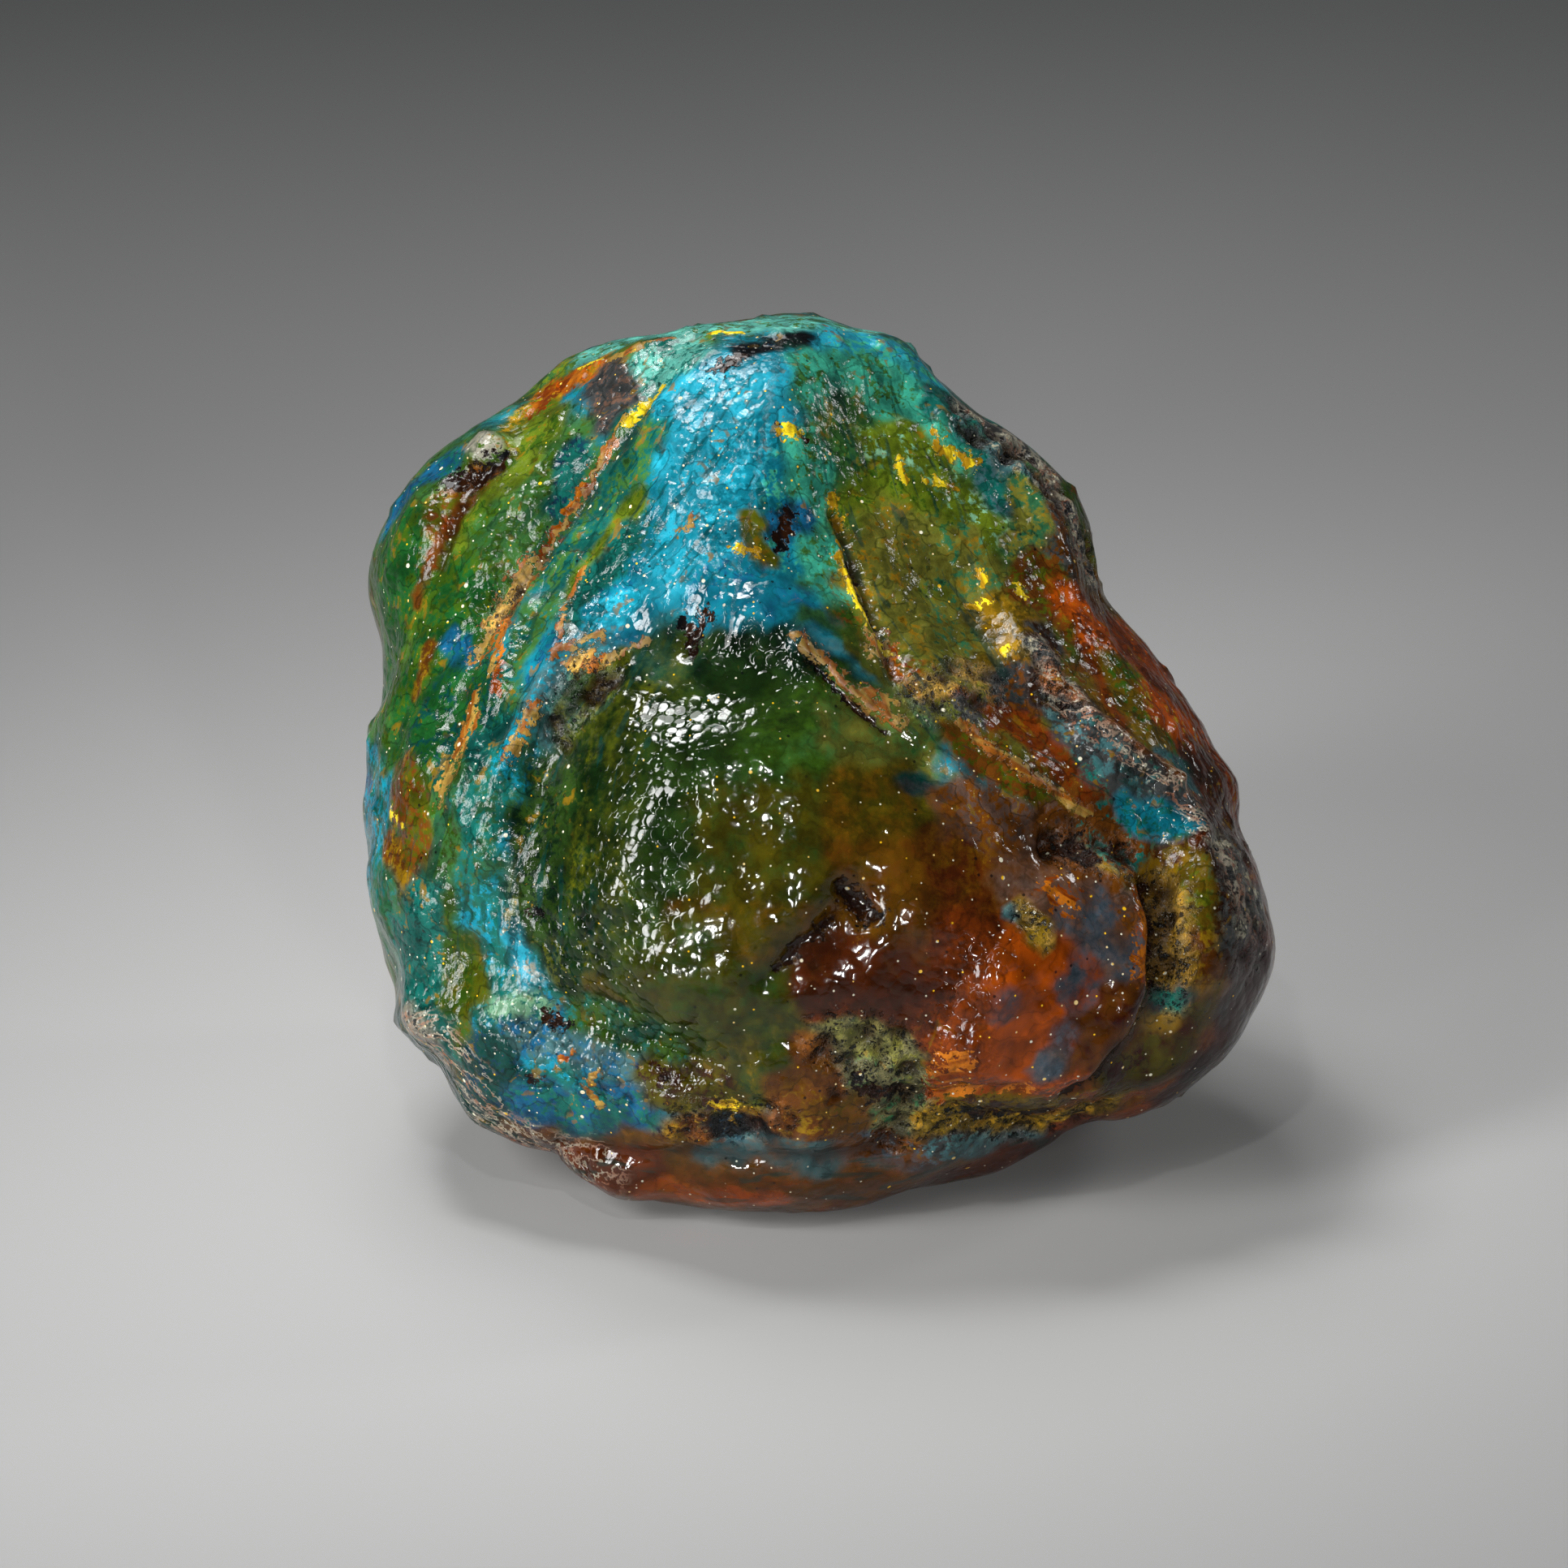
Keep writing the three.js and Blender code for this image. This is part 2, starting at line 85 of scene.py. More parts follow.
# The colours of the front, as strokes laid one over another: the colour, a second colour that
# mottles it, the share of the second, how far the stroke reaches, and its path over the face.
FRONT_STROKES = [
    ("leaf", "moss", 0.4, 11, (-25, 18), (-25, 8), (-25, -3)),
    ("teal", "deep_teal", 0.4, 9, (-25, -10), (-21, -18)),
    ("cerulean", "teal", 0.4, 11, (-13, 25), (-3, 25), (4, 25)),
    ("cerulean", "teal", 0.4, 10, (-8, 18), (-13, 12), (-18, 2)),
    ("leaf", "khaki", 0.4, 12, (5, 20), (9, 13)),
    ("khaki", "brown", 0.4, 11, (10, 4), (15, -1)),
    ("rust", "red_brown", 0.4, 10, (20, 7), (26, -3), (27, -13)),
    ("brown", "olive", 0.4, 9, (22, -8), (20, -19)),
    ("forest", "olive", 0.4, 14, (-8, 2), (-8, -8), (-7, -16)),
    ("amber", "olive", 0.35, 11, (5, -5), (6, -13)),
    ("rust", "brown", 0.4, 10, (13, -13), (14, -17)),
    ("amber_red", "amber", 0.45, 8, (-19, -25), (-8, -27), (4, -27), (15, -24), (23, -20)),
    ("amber", "brown", 0.4, 6, (-13, -23), (-6, -23), (3, -23), (12, -23)),
    ("leaf", "lichen", 0.45, 3, (-18, 24.5), (-12.5, 26.5), (-7.5, 27.5)),
    ("aqua", "leaf", 0.35, 2.4, (-13.5, 26.5), (-9.5, 27.5), (-4.5, 28), (0.5, 28), (4, 27.5)),
    ("cerulean", "sky", 0.45, 4, (-8, 24), (-3, 25), (2, 26)),
    ("sky", "cerulean", 0.4, 3.2, (-8.5, 21.5), (-6, 23), (-2.5, 24)),
    ("sky", "bright_teal", 0.45, 3.4, (2.5, 26), (5.5, 24.5), (7.5, 23)),
    ("aqua", "teal", 0.4, 2.5, (-11.5, 24.5), (-9, 26)),
    ("black", "navy", 0.25, 1.2, (-4.8, 26.3), (-2.8, 26.7), (-1, 27)),
    ("ochre", "orange", 0.45, 1.4, (-18.1, 22.1), (-16.8, 23.9), (-14, 25.3)),
    ("slate", "purple_grey", 0.4, 2, (-13.5, 24.5), (-12.5, 23), (-13.5, 22)),
    ("lichen", "gold", 0.5, 1.6, (-18.8, 21.6), (-17.5, 22.7)),
    ("lichen", "moss", 0.45, 5.5, (-19, 18), (-22, 14), (-24, 9)),
    ("leaf", "moss", 0.4, 3.2, (-16.5, 20), (-18, 16.5), (-20.5, 12.5)),
    ("lichen", "moss", 0.4, 2.5, (-20, 18.5), (-19, 20), (-17.5, 21.5)),
    ("teal", "navy", 0.4, 1.3, (-15.5, 19.8), (-15.8, 17.7), (-16.3, 16.2)),
    ("olive", "brown", 0.5, 1.4, (-24.4, 15.2), (-22.6, 17), (-20.9, 18.3)),
    ("blue", "teal", 0.4, 1.6, (-23.4, 19.3), (-25.7, 17.5), (-27.1, 15.2)),
    ("emerald", "moss", 0.4, 3.2, (-26.5, 13.5), (-27, 9.5), (-27, 5)),
    ("brown", "rust", 0.4, 0.5, (-22.6, 16.7), (-24.2, 13.7), (-25.2, 10.6)),
    ("emerald", "moss", 0.45, 3.6, (-23, 10.5), (-24.5, 6), (-25.5, 3.5)),
    ("brown", "ochre", 0.5, 0.6, (-24.7, 6.5), (-25.4, 4.5), (-24.4, 7.5)),
    ("blue", "teal", 0.4, 1, (-23.2, 8.1), (-22.1, 6.9)),
    ("deep_teal", "teal", 0.4, 2.6, (-19, 4.5), (-20, 2), (-21, -0.5)),
    ("emerald", "deep_teal", 0.45, 3.4, (-22, 4.5), (-23.5, 2.5), (-25, -0.5)),
    ("teal", "cerulean", 0.5, 2.6, (-28.5, 0), (-27.5, -2.5), (-28.5, -5.5)),
    ("blue", "cerulean", 0.4, 1, (-28.4, -0.9), (-28.2, -1.4)),
    ("olive", "brown", 0.5, 2.8, (-26, -1.5), (-25, -4.5), (-26, -8.5)),
    ("brown", "ochre", 0.5, 1, (-27, -4.7), (-26, -7.2)),
    ("moss", "leaf", 0.5, 2.6, (-23, -2), (-22.5, -5.5), (-23.5, -8.5)),
    ("sea_green", "teal", 0.4, 2.5, (-27.5, -8), (-27, -11)),
    ("teal", "deep_teal", 0.35, 3.6, (-24, -9.5), (-25, -12), (-25.5, -14)),
    ("olive", "moss", 0.35, 1.9, (-21.4, -9.3), (-21.3, -12.9), (-21.9, -16.9)),
    ("moss", "olive", 0.4, 1.2, (-22.9, -8.3), (-22.4, -10.8), (-22.9, -14.4)),
    ("leaf", "teal", 0.4, 1.8, (-17.5, 9.6), (-18.3, 7), (-18.8, 5)),
    ("teal", "leaf", 0.45, 2.6, (-11.5, 21), (-14, 16), (-16.5, 12.5)),
    ("lichen", "moss", 0.4, 1.2, (-11.7, 16.7), (-13.2, 14.2), (-15.2, 11.1)),
    ("sky", "cerulean", 0.5, 2.4, (-7.5, 17.5), (-9, 13.5), (-11.5, 10.5)),
    ("cerulean", "blue", 0.45, 2.4, (-9.5, 12.5), (-12, 10.5), (-14.5, 8.5), (-17, 6)),
    ("teal", "deep_teal", 0.45, 1.2, (-12.2, 14.7), (-14.2, 11.6), (-15.8, 8.6)),
    ("grey_blue", "cerulean", 0.4, 2.2, (-14.5, 7.5), (-17, 3.5), (-18, 1), (-19, -2.5)),
    ("cerulean", "sky", 0.4, 1.5, (-13.7, 9.6), (-11.7, 10.4)),
    ("teal", "cerulean", 0.45, 2.6, (-18.5, -0.5), (-20, -4.5), (-21, -8.5)),
    ("sea_green", "teal", 0.5, 2.2, (-21.5, -2.5), (-21.5, -7)),
    ("teal", "cerulean", 0.4, 1.8, (-20.1, -8.3), (-19.8, -11.3), (-18.3, -13.9)),
    ("sky", "silver", 0.4, 0.8, (-19.4, -9.3), (-18.8, -11.8), (-18.1, -13.6)),
    ("bottle", "olive", 0.4, 1.4, (-12.7, 6.5), (-14.2, 5), (-15.5, 3)),
    ("olive", "bottle", 0.4, 1, (-14.7, 4), (-15.2, 1.9)),
    ("sky", "cerulean", 0.4, 3.6, (-6.5, 20), (-7.5, 15.5), (-8, 12.5)),
    ("cerulean", "sky", 0.4, 2.6, (-4, 20), (-5, 15.5), (-5.5, 12.5)),
    ("cerulean", "bright_teal", 0.4, 2.6, (-1, 18.5), (-1, 14.5), (-2.5, 11.5)),
    ("bright_teal", "leaf", 0.45, 2, (-0.5, 20), (0, 15.5), (0.5, 11.5)),
    ("blue", "navy", 0.4, 1.4, (-2.5, 15.2), (-1.2, 15.7)),
    ("olive", "gold_olive", 0.4, 0.9, (-4, 15.7), (-4.3, 14.2), (-3.3, 13.2)),
    ("cerulean", "blue", 0.4, 2.8, (-6.5, 11), (-3.5, 10.5), (-1.5, 9.5)),
    ("deep_teal", "black", 0.5, 1.4, (-4, 7.5), (-2.5, 8.1), (-1.2, 6.5)),
    ("sea_green", "leaf", 0.4, 1.2, (-0.5, 9.3), (0.6, 7.5)),
    ("bright_teal", "leaf", 0.4, 3.4, (0.5, 24), (4, 23), (7.5, 21.5)),
    ("leaf", "khaki", 0.4, 3.2, (2.5, 21), (3.5, 17.5), (3, 15.5)),
    ("lichen", "pale_green", 0.3, 2.6, (5, 20), (7.5, 17.5), (10.5, 15.5)),
    ("lichen", "moss", 0.4, 4, (5, 16), (7, 13), (5, 10)),
    ("khaki", "ochre", 0.35, 3.2, (4.5, 14.5), (4, 11.5), (6, 9), (9, 7.5)),
    ("khaki", "sea_green", 0.35, 3, (8.5, 13.5), (10.5, 10.5), (9, 8)),
    ("gold_olive", "ochre", 0.5, 2.4, (11.5, 9.5), (13, 7.5), (11.5, 6)),
    ("gold_olive", "rust", 0.4, 1.5, (5.7, 5), (7.7, 3.5)),
    ("tan", "gold_olive", 0.4, 1.1, (7.2, 5), (8, 5.4), (8.5, 3.9)),
    ("tan", "olive", 0.35, 1.3, (9.7, 5.9), (10.9, 5.7), (11.2, 4.9)),
    ("slate", "brown", 0.4, 1.8, (11.7, 5.2), (13.8, 5)),
    ("rust", "brown", 0.5, 1.3, (9.5, 3.7), (12.3, 3.2)),
    ("slate", "olive", 0.4, 1.6, (7.2, 2.4), (9.2, 3.5)),
    ("olive", "brown", 0.5, 2, (8.5, 1.5), (12, -0.5), (15.5, -2.5)),
    ("rust", "brown", 0.4, 1.6, (12.8, 2.4), (15.4, 0.4), (17.4, -1.6)),
    ("cerulean", "grey_blue", 0.4, 1.2, (-0.5, 8.1), (2.1, 5.5), (4.1, 4)),
    ("cerulean", "grey_blue", 0.45, 1.1, (5.7, 2.7), (7.2, 0.9), (9, -0.9)),
    ("grey_blue", "purple_grey", 0.5, 1.1, (9, -0.9), (10.8, -2.1), (12.8, -3.2)),
    ("bottle", "deep_green", 0.4, 3, (-5.5, 6.5), (-1, 5.5), (1.5, 3.5)),
    ("deep_green", "olive", 0.4, 4.6, (-13, 3), (-15, -2), (-16, -7), (-16, -11)),
    ("forest", "bottle", 0.45, 2.2, (-16.5, -0.5), (-17.5, -4.5), (-17, -9)),
    ("forest", "deep_green", 0.45, 6, (-6, 3), (-7, -1), (-8, -7)),
    ("forest", "moss", 0.5, 4.4, (-1, 2), (1, 2)),
    ("moss", "leaf", 0.4, 4, (-2, -1), (2, -1)),
    ("khaki", "leaf", 0.4, 3.2, (3, 2.5), (5, 0.5), (4.5, -1.5)),
    ("umber_olive", "forest", 0.4, 5, (-4, -5), (1, -6), (3, -9)),
    ("umber_olive", "amber", 0.4, 2.6, (-7.5, -10.5), (-4, -10.5), (0, -10.5)),
    ("umber_olive", "forest", 0.5, 4, (-8, -13), (-5, -15)),
    ("umber_olive", "dark_brown", 0.4, 2, (-13.5, -14.5), (-12.5, -16)),
    ("forest", "umber_olive", 0.5, 2.6, (-6.5, -18), (-4.5, -19.5), (-2.5, -17.5)),
    ("umber_olive", "amber", 0.45, 4, (4, -2), (5, -7)),
    ("amber", "red_brown", 0.4, 4.4, (5, -9), (6, -12)),
    ("red_brown", "dark_brown", 0.45, 4.4, (5, -15), (2, -14)),
    ("red_brown", "amber", 0.45, 3.4, (9, -5), (11.5, -7), (9.5, -9.5)),
    ("deep_teal", "slate", 0.5, 0.9, (5.8, -0.9), (6.5, -1)),
    ("purple_grey", "brown", 0.55, 2.2, (9, -2.5), (12, -3.5), (14, -5.5)),
    ("rust", "orange", 0.5, 2.6, (12, -13), (12, -16), (11.5, -18)),
    ("orange", "rust", 0.45, 2.6, (13.5, -13), (14, -15), (13, -17.5)),
    ("haze_blue", "rust", 0.5, 1, (11.7, -13.6), (11.4, -14.9)),
    ("red_brown", "rust", 0.45, 3, (9.5, -11), (9, -14.5), (7.5, -17)),
    ("brown", "purple_grey", 0.5, 3, (14, -7.5), (16.5, -8), (19, -10)),
    ("haze_blue", "brown", 0.5, 2.2, (16, -9), (18.5, -10.5), (18.5, -13)),
    ("haze_blue", "purple_grey", 0.5, 1.8, (17.9, -11.3), (17.4, -14.9)),
    ("orange", "amber_red", 0.5, 2.6, (13.5, -12.5), (15.5, -13.5)),
    ("rust", "haze_blue", 0.45, 2, (17, -16.5), (15.5, -17.5)),
    # Maroon here is partly the nodule's own colour and partly painted shade on the side away from the
    # lamps.
    ("brown", "maroon", 0.5, 2.6, (19, -15), (18, -17.5), (17, -19)),
    ("gold_olive", "tan", 0.35, 1.1, (12.7, -9.2), (13.8, -10.3)),
    ("grey_blue", "slate", 0.4, 0.5, (11.8, -9), (12.1, -9.4)),
    ("haze_blue", "purple_grey", 0.4, 1.1, (14.3, -18.2), (14.5, -19.7)),
    ("haze_blue", "rust", 0.5, 1.4, (16, -14.1), (16.6, -12.6)),
    ("amber_red", "orange", 0.4, 1.6, (15.9, -19.7), (13.8, -20.5)),
    ("gold_olive", "ochre", 0.4, 1.5, (15.4, -4.4), (17.1, -4.7), (19.2, -5.7)),
    ("brown", "purple_grey", 0.4, 1.6, (14.3, -3.2), (15.9, -5.7)),
    ("teal", "grey_blue", 0.4, 2.2, (8, 23), (11, 20.5), (12, 17.5)),
    ("slate", "silver", 0.45, 1.5, (9.2, 22.6), (12.3, 20.8), (14.3, 18.8), (15.9, 15.7), (16.9, 12.6)),
    ("grey_blue", "silver", 0.4, 1.8, (11.8, 19.8), (13.6, 17.7)),
    ("brown", "slate", 0.45, 1.8, (14.8, 15.7), (14.3, 13.2), (15.4, 11.6)),
    ("sea_green", "khaki", 0.5, 1.4, (12.9, 17.7), (13.4, 15.7), (12.5, 14.2)),
    ("brown", "olive", 0.4, 2.6, (14, 11.5), (15.5, 10)),
    ("orange", "rust", 0.45, 2.4, (16, 10.5), (17.5, 9)),
    ("rust", "orange", 0.4, 2.4, (17.5, 8), (19, 6)),
    ("rust", "orange", 0.3, 2.6, (20, 8), (22, 6), (24.5, 2.5)),
    ("gold_olive", "moss", 0.45, 2.2, (19, 6), (20.5, 3.5), (22, 0.5)),
    ("orange", "gold", 0.25, 1.9, (21.2, 4), (23.3, 2.2)),
    ("grey_blue", "teal", 0.4, 1.4, (22, 0.4), (23.5, -0.6)),
    ("dark_brown", "slate", 0.4, 1.6, (14.1, 8.1), (14.3, 5.5), (16.4, 4)),
    ("slate", "silver", 0.3, 1.3, (13.8, 7.5), (15.4, 5), (17.4, 3), (19.9, 0.9), (22.5, -1.1),
        (24, -3.7), (24.6, -6.2)),
    ("brown", "pinkish", 0.4, 0.8, (14.3, 6), (16.9, 3.5), (19.9, 1.4), (22.5, -0.6)),
    ("slate", "teal", 0.3, 1.8, (16.4, 2.4), (18.9, -0.1), (21.5, -2.1)),
    ("slate", "grey_blue", 0.4, 1.2, (15.4, 3.5), (17.4, 1.4), (19.9, -0.6)),
    ("cerulean", "teal", 0.4, 2, (19.5, -3), (21.5, -4), (23, -5)),
    ("brown", "teal", 0.4, 1.6, (17.4, -3.2), (18.9, -5.2), (21.5, -6.5)),
    ("red_brown", "dark_brown", 0.5, 2.6, (24.5, 0), (25.5, -3.5), (25, -6.5)),
    ("slate", "silver", 0.4, 2.6, (26, -5.5), (27.5, -8.5), (27, -11.5)),
    ("dark_brown", "slate", 0.4, 1.8, (25, -7.2), (25, -10.3), (26.1, -12.3)),
    # The maroon of the lower right edge is partly the nodule's own colour and partly painted shade on the
    # side away from the lamps.
    ("maroon", "slate", 0.3, 3.4, (27.5, -12.5), (26.5, -16.5), (23.5, -19.5)),
    ("umber_olive", "maroon", 0.5, 2.4, (23.5, -14.5), (22, -17.5), (19.5, -19.5)),
    ("brown", "ochre", 0.45, 2, (21.5, -6.5), (23, -9), (24, -12.5)),
    ("tan", "ochre", 0.45, 1.7, (21.2, -7.2), (22.2, -9.8), (22.2, -12.9), (21.5, -15.1)),
    ("gold_olive", "olive", 0.45, 1.2, (23.5, -6.2), (24, -9.3)),
    ("teal", "slate", 0.5, 1, (21.5, -14.5), (22.7, -14.3)),
    ("drab", "sea_green", 0.3, 2.3, (2, -17.5), (3.5, -18), (5.5, -20), (5, -21.5)),
    ("drab", "khaki", 0.4, 1.2, (0.6, -16.9), (2.6, -16.7), (5.2, -17.4), (6.7, -19.5)),
    ("gold_olive", "ochre", 0.45, 1.6, (7.2, -21.8), (10.8, -22.1), (14.8, -22), (17.4, -21.3)),
    ("gold_olive", "dark_brown", 0.4, 1.2, (8.5, -20.6), (11.3, -20.9), (14.8, -21)),
    ("brown", "ochre", 0.4, 2, (-8.5, -22.5), (-5.5, -23), (-0.5, -23)),
    ("brown", "amber", 0.4, 1.8, (-1.5, -20), (0.3, -19.5), (-0.5, -18)),
    ("black", "navy", 0.25, 1.5, (-6.3, -22.1), (-4.8, -22.4), (-3.5, -23.2)),
    ("blue", "sky", 0.4, 0.8, (-5.3, -23.7), (-4.3, -23.9)),
    ("grey_blue", "brown", 0.4, 1.5, (-6.6, -24.3), (-2.5, -24.3), (1.6, -24.6), (4.6, -25.3)),
    ("brown", "haze_blue", 0.4, 1.6, (2.1, -23.6), (4.6, -23.8), (7.2, -24.6)),
    ("amber", "amber_red", 0.5, 3, (-13.5, -25.5), (-9, -26.5), (-4.5, -27), (0.5, -27), (4, -26.5)),
    ("orange", "amber", 0.4, 1.1, (-10.7, -26.1), (-6.6, -26.9), (-2.5, -27.1)),
    ("slate", "grey_blue", 0.5, 1.1, (7.7, -23.7), (12.3, -23.6), (16.9, -22.8)),
    ("amber_red", "maroon", 0.5, 1.8, (7.7, -25.6), (12.8, -24.3), (19.9, -21.8)),
    ("teal", "cerulean", 0.45, 3.6, (-19, -17.5), (-16, -18.5), (-11.5, -19)),
    ("blue", "teal", 0.5, 2.2, (-19, -20.5), (-16, -21.5), (-11.5, -21)),
    ("grey_blue", "blue", 0.5, 1.6, (-10.7, -18.5), (-7.6, -20.2)),
    ("umber_olive", "dark_brown", 0.45, 2.4, (-9.5, -19), (-7, -20)),
    ("grey_blue", "blue", 0.4, 2, (-18.5, -16.5), (-13.5, -17.5)),
    ("deep_teal", "navy", 0.4, 2.4, (-20.5, -18.5), (-21, -20)),
    ("pale_green", "teal", 0.4, 0.8, (-20.1, -15.4), (-18.6, -14.9), (-17.3, -15.1)),
    ("moss", "teal", 0.4, 1.6, (-14.7, -15.4), (-11.2, -16.4), (-9.6, -17.4)),
    ("deep_teal", "slate", 0.4, 2.2, (-23, -20), (-20.5, -22), (-17, -23.5)),
    ("deep_teal", "bottle", 0.4, 3, (-26, -16), (-24, -19), (-22, -20.5)),
    ("amber_red", "dark_brown", 0.4, 1.8, (-18.3, -23.7), (-14.7, -24.6), (-11.2, -24.6)),
    # The knob at the lower left is painted silver, partly its own colour and partly a painted glint.
    ("silver", "slate", 0.4, 1.2, (-25.7, -15.7), (-24.8, -16.3)),
    ("silver", "moss", 0.3, 1, (-21.4, 20.2), (-20.9, 19.8)),
]

# The same for the back and the underside, which are seen through the nodule from the front.
BACK_STROKES = [
    ("moss", "teal", 0.4, 16, (-18, 16), (-6, 4), (6, 14)),
    ("teal", "cerulean", 0.45, 13, (-16, 20), (0, 22), (8, 20)),
    ("brown", "olive", 0.45, 14, (16, 6), (18, -8), (6, -12)),
    ("deep_green", "emerald", 0.4, 12, (-6, 6), (0, -4)),
    ("amber_red", "rust", 0.45, 11, (14, -20), (0, -24), (-14, -20)),
    ("teal", "sea_green", 0.45, 10, (-24, 0), (-20, -12)),
    ("cerulean", "sky", 0.4, 5, (-12, 22), (-4, 18)),
    ("olive", "gold_olive", 0.45, 6, (2, 10), (10, 4)),
    ("slate", "grey_blue", 0.4, 5, (20, 0), (22, -8)),
    ("tan", "gold_olive", 0.4, 3, (8, 18), (12, 10), (13, 2)),
    ("cerulean", "teal", 0.4, 4, (-8, -12), (2, -14)),
    ("orange", "amber_red", 0.4, 4, (8, -16), (16, -14)),
    ("purple_grey", "slate", 0.4, 3.5, (-16, -14), (-10, -18)),
    ("lichen", "moss", 0.4, 3.4, (-20, 10), (-14, 2)),
    ("cerulean", "sky", 0.4, 2.6, (4, 4), (8, -3)),
    ("sea_green", "leaf", 0.5, 3, (-10, -2), (-4, -7)),
    ("ochre", "orange", 0.5, 2, (-2, 15), (4, 19)),
    ("khaki", "gold_olive", 0.4, 2.4, (16, 14), (20, 8)),
    ("rust", "orange", 0.5, 2, (-20, -8), (-17, -13)),
    ("bright_teal", "teal", 0.4, 2, (-16, 8), (-12, 11)),
    ("navy", "blue", 0.4, 1.8, (-3, 0), (1, -5)),
    ("haze_blue", "brown", 0.5, 2.2, (12, -8), (17, -12)),
]

# Thin veins and specks of the front by kind: how far each reaches, and its path.
VEINS = {
    "gold": [
        (0.16, (-7, 27.3), (-4.8, 27.4)), (0.16, (-15.5, 25), (-13.5, 25.8)),
        (0.4, (-9.9, 24.1), (-11.4, 22.6), (-12.2, 21.6)), (0.3, (-27, -2.7), (-26.2, -3.4)),
        (0.5, (-2.4, 21.2), (-1.6, 21.3)), (0.4, (-5.3, 13.8), (-4, 13.7)),
        (0.5, (7.3, 20.4), (8.3, 19.9), (9.5, 19.2)), (0.35, (7.2, 21.1), (7.6, 19.8)),
        (0.3, (4.9, 19.5), (5.4, 18.3)), (0.3, (6.7, 18.2), (8.7, 17.6)),
        (0.4, (0.8, 17.1), (1.3, 15.2)), (0.3, (1.1, 14.3), (1.3, 13.2)),
        (0.3, (1.1, 13.2), (2, 11.1), (3, 9.1), (4.2, 7.3)), (0.3, (10.1, 12.6), (10.4, 11.6)),
        (0.3, (9.7, 10.2), (10.7, 10.6)), (0.4, (12.4, 11.7), (12.9, 11.2)),
        (0.35, (11.6, 7.5), (12.4, 8)), (0.4, (-6.5, -21.1), (-5.2, -21.1)),
    ],
    "tan": [
        (0.22, (-11.7, 26.5), (-9.1, 27)), (0.3, (-14, 25.4), (-11.2, 26.4)),
        (0.2, (-12.2, 22.1), (-13.5, 19.9), (-14.5, 17.7), (-15.8, 15.7), (-17.2, 13.7)),
        (0.8, (-18.1, 12.9), (-19.2, 11), (-20.2, 9.2), (-21.3, 7.3)),
        (0.35, (-18.6, 11.6), (-19.6, 9.6), (-20.2, 7.5), (-20.6, 5.8)),
        (0.8, (-21.5, 3.2), (-22.5, 1.2), (-23.5, -1.4)), (0.4, (-21.4, 5), (-21.9, 3.5)),
        (0.22, (-15.8, 10.4), (-16.3, 8.1), (-16.6, 6.8)),
        (0.4, (-17.7, 3.9), (-18.6, 2.4), (-19.4, 0.7)), (0.25, (-14.7, 12.6), (-15.8, 10.4)),
        (0.35, (-16.3, 7.5), (-14.2, 8.1), (-13.5, 8.5)),
        (0.35, (-10.7, 8.1), (-13.7, 6.8), (-15.8, 6)),
        (0.3, (-14.2, 7.5), (-15.8, 6.6), (-13.5, 7.1)),
        (0.35, (-8.6, 14.9), (-7.9, 15.3), (-8.1, 15.7)), (0.9, (3.5, 8.2), (3.8, 7.3)),
        (0.5, (3.1, 5), (4.6, 4)), (0.4, (8.7, 3), (11.3, 0.9), (14.3, -1.1), (16.9, -2.7)),
        (0.4, (-1.2, 8.2), (0.6, 6.4), (2.6, 4.4), (5.2, 3)),
        (0.35, (-14, -19), (-14.5, -20.2), (-13.8, -21)),
    ],
    "rust": [
        (0.8, (-17.9, 22.6), (-16.8, 23.8), (-15, 24.8)),
        (0.38, (-12.9, 20.8), (-14, 18.8), (-14.8, 17.5), (-16.2, 15.4), (-17.6, 13.3), (-18.8, 11.4),
            (-19.7, 9.6)),
        (0.3, (-20, 9.1), (-19.9, 6.5), (-20.2, 4.6)), (0.5, (4.5, 7.5), (5.2, 5.9)),
        (1, (14.8, -7.8), (15.5, -8.4)), (0.7, (20.1, -8.3), (20.5, -10.8), (20.1, -12.9)),
        (0.6, (7.2, -20.4), (9.7, -19.8), (13.1, -20)), (1, (8.7, -18), (8, -19.7)),
        (0.3, (-16, -18), (-15.5, -18.2)),
    ],
    "dark": [
        (0.7, (-6.3, 25.4), (-5.3, 25.9)), (0.8, (-22.9, 18), (-21.4, 18.4), (-20.3, 19)),
        (0.6, (-1.7, 16), (-2.5, 14.2)), (0.18, (-2.6, 21.8), (-0.7, 20.6)),
        (0.5, (-8.4, 9.3), (-8.1, 8.6)), (0.6, (-7.1, 9.6), (-8.1, 7.5)),
        (0.22, (1.6, 13.2), (2.5, 10.6), (3.6, 8.6), (4.8, 6.5)),
        (0.22, (-0.5, 6.8), (1.6, 4.5), (4.1, 2.4)), (0.5, (-17.8, -8.8), (-17.4, -9.3)),
        (0.7, (1.6, -7.5), (2.6, -8.3), (3.4, -9.3)),
        (0.35, (1.1, -9.3), (-1, -10.8), (-2.5, -12.6)), (0.8, (16.1, -4.9), (17.1, -5.2)),
        (0.4, (18.2, -4.7), (18.4, -5)),
        (0.3, (20.6, -7), (21.2, -10.3), (21.2, -13.4), (20.2, -16.2), (17.9, -19.2), (15.4, -20.6)),
        (0.6, (2.6, -19.5), (3.6, -20.5), (5.2, -20.2)),
        (0.6, (9.2, -21.3), (12.3, -21.6), (14.3, -21.3)), (0.6, (-16.7, -15.4), (-15.9, -16)),
        (0.4, (-18.1, -19.3), (-17.6, -19.8)), (0.35, (-10, -19), (-9.7, -19.5)),
    ],
}

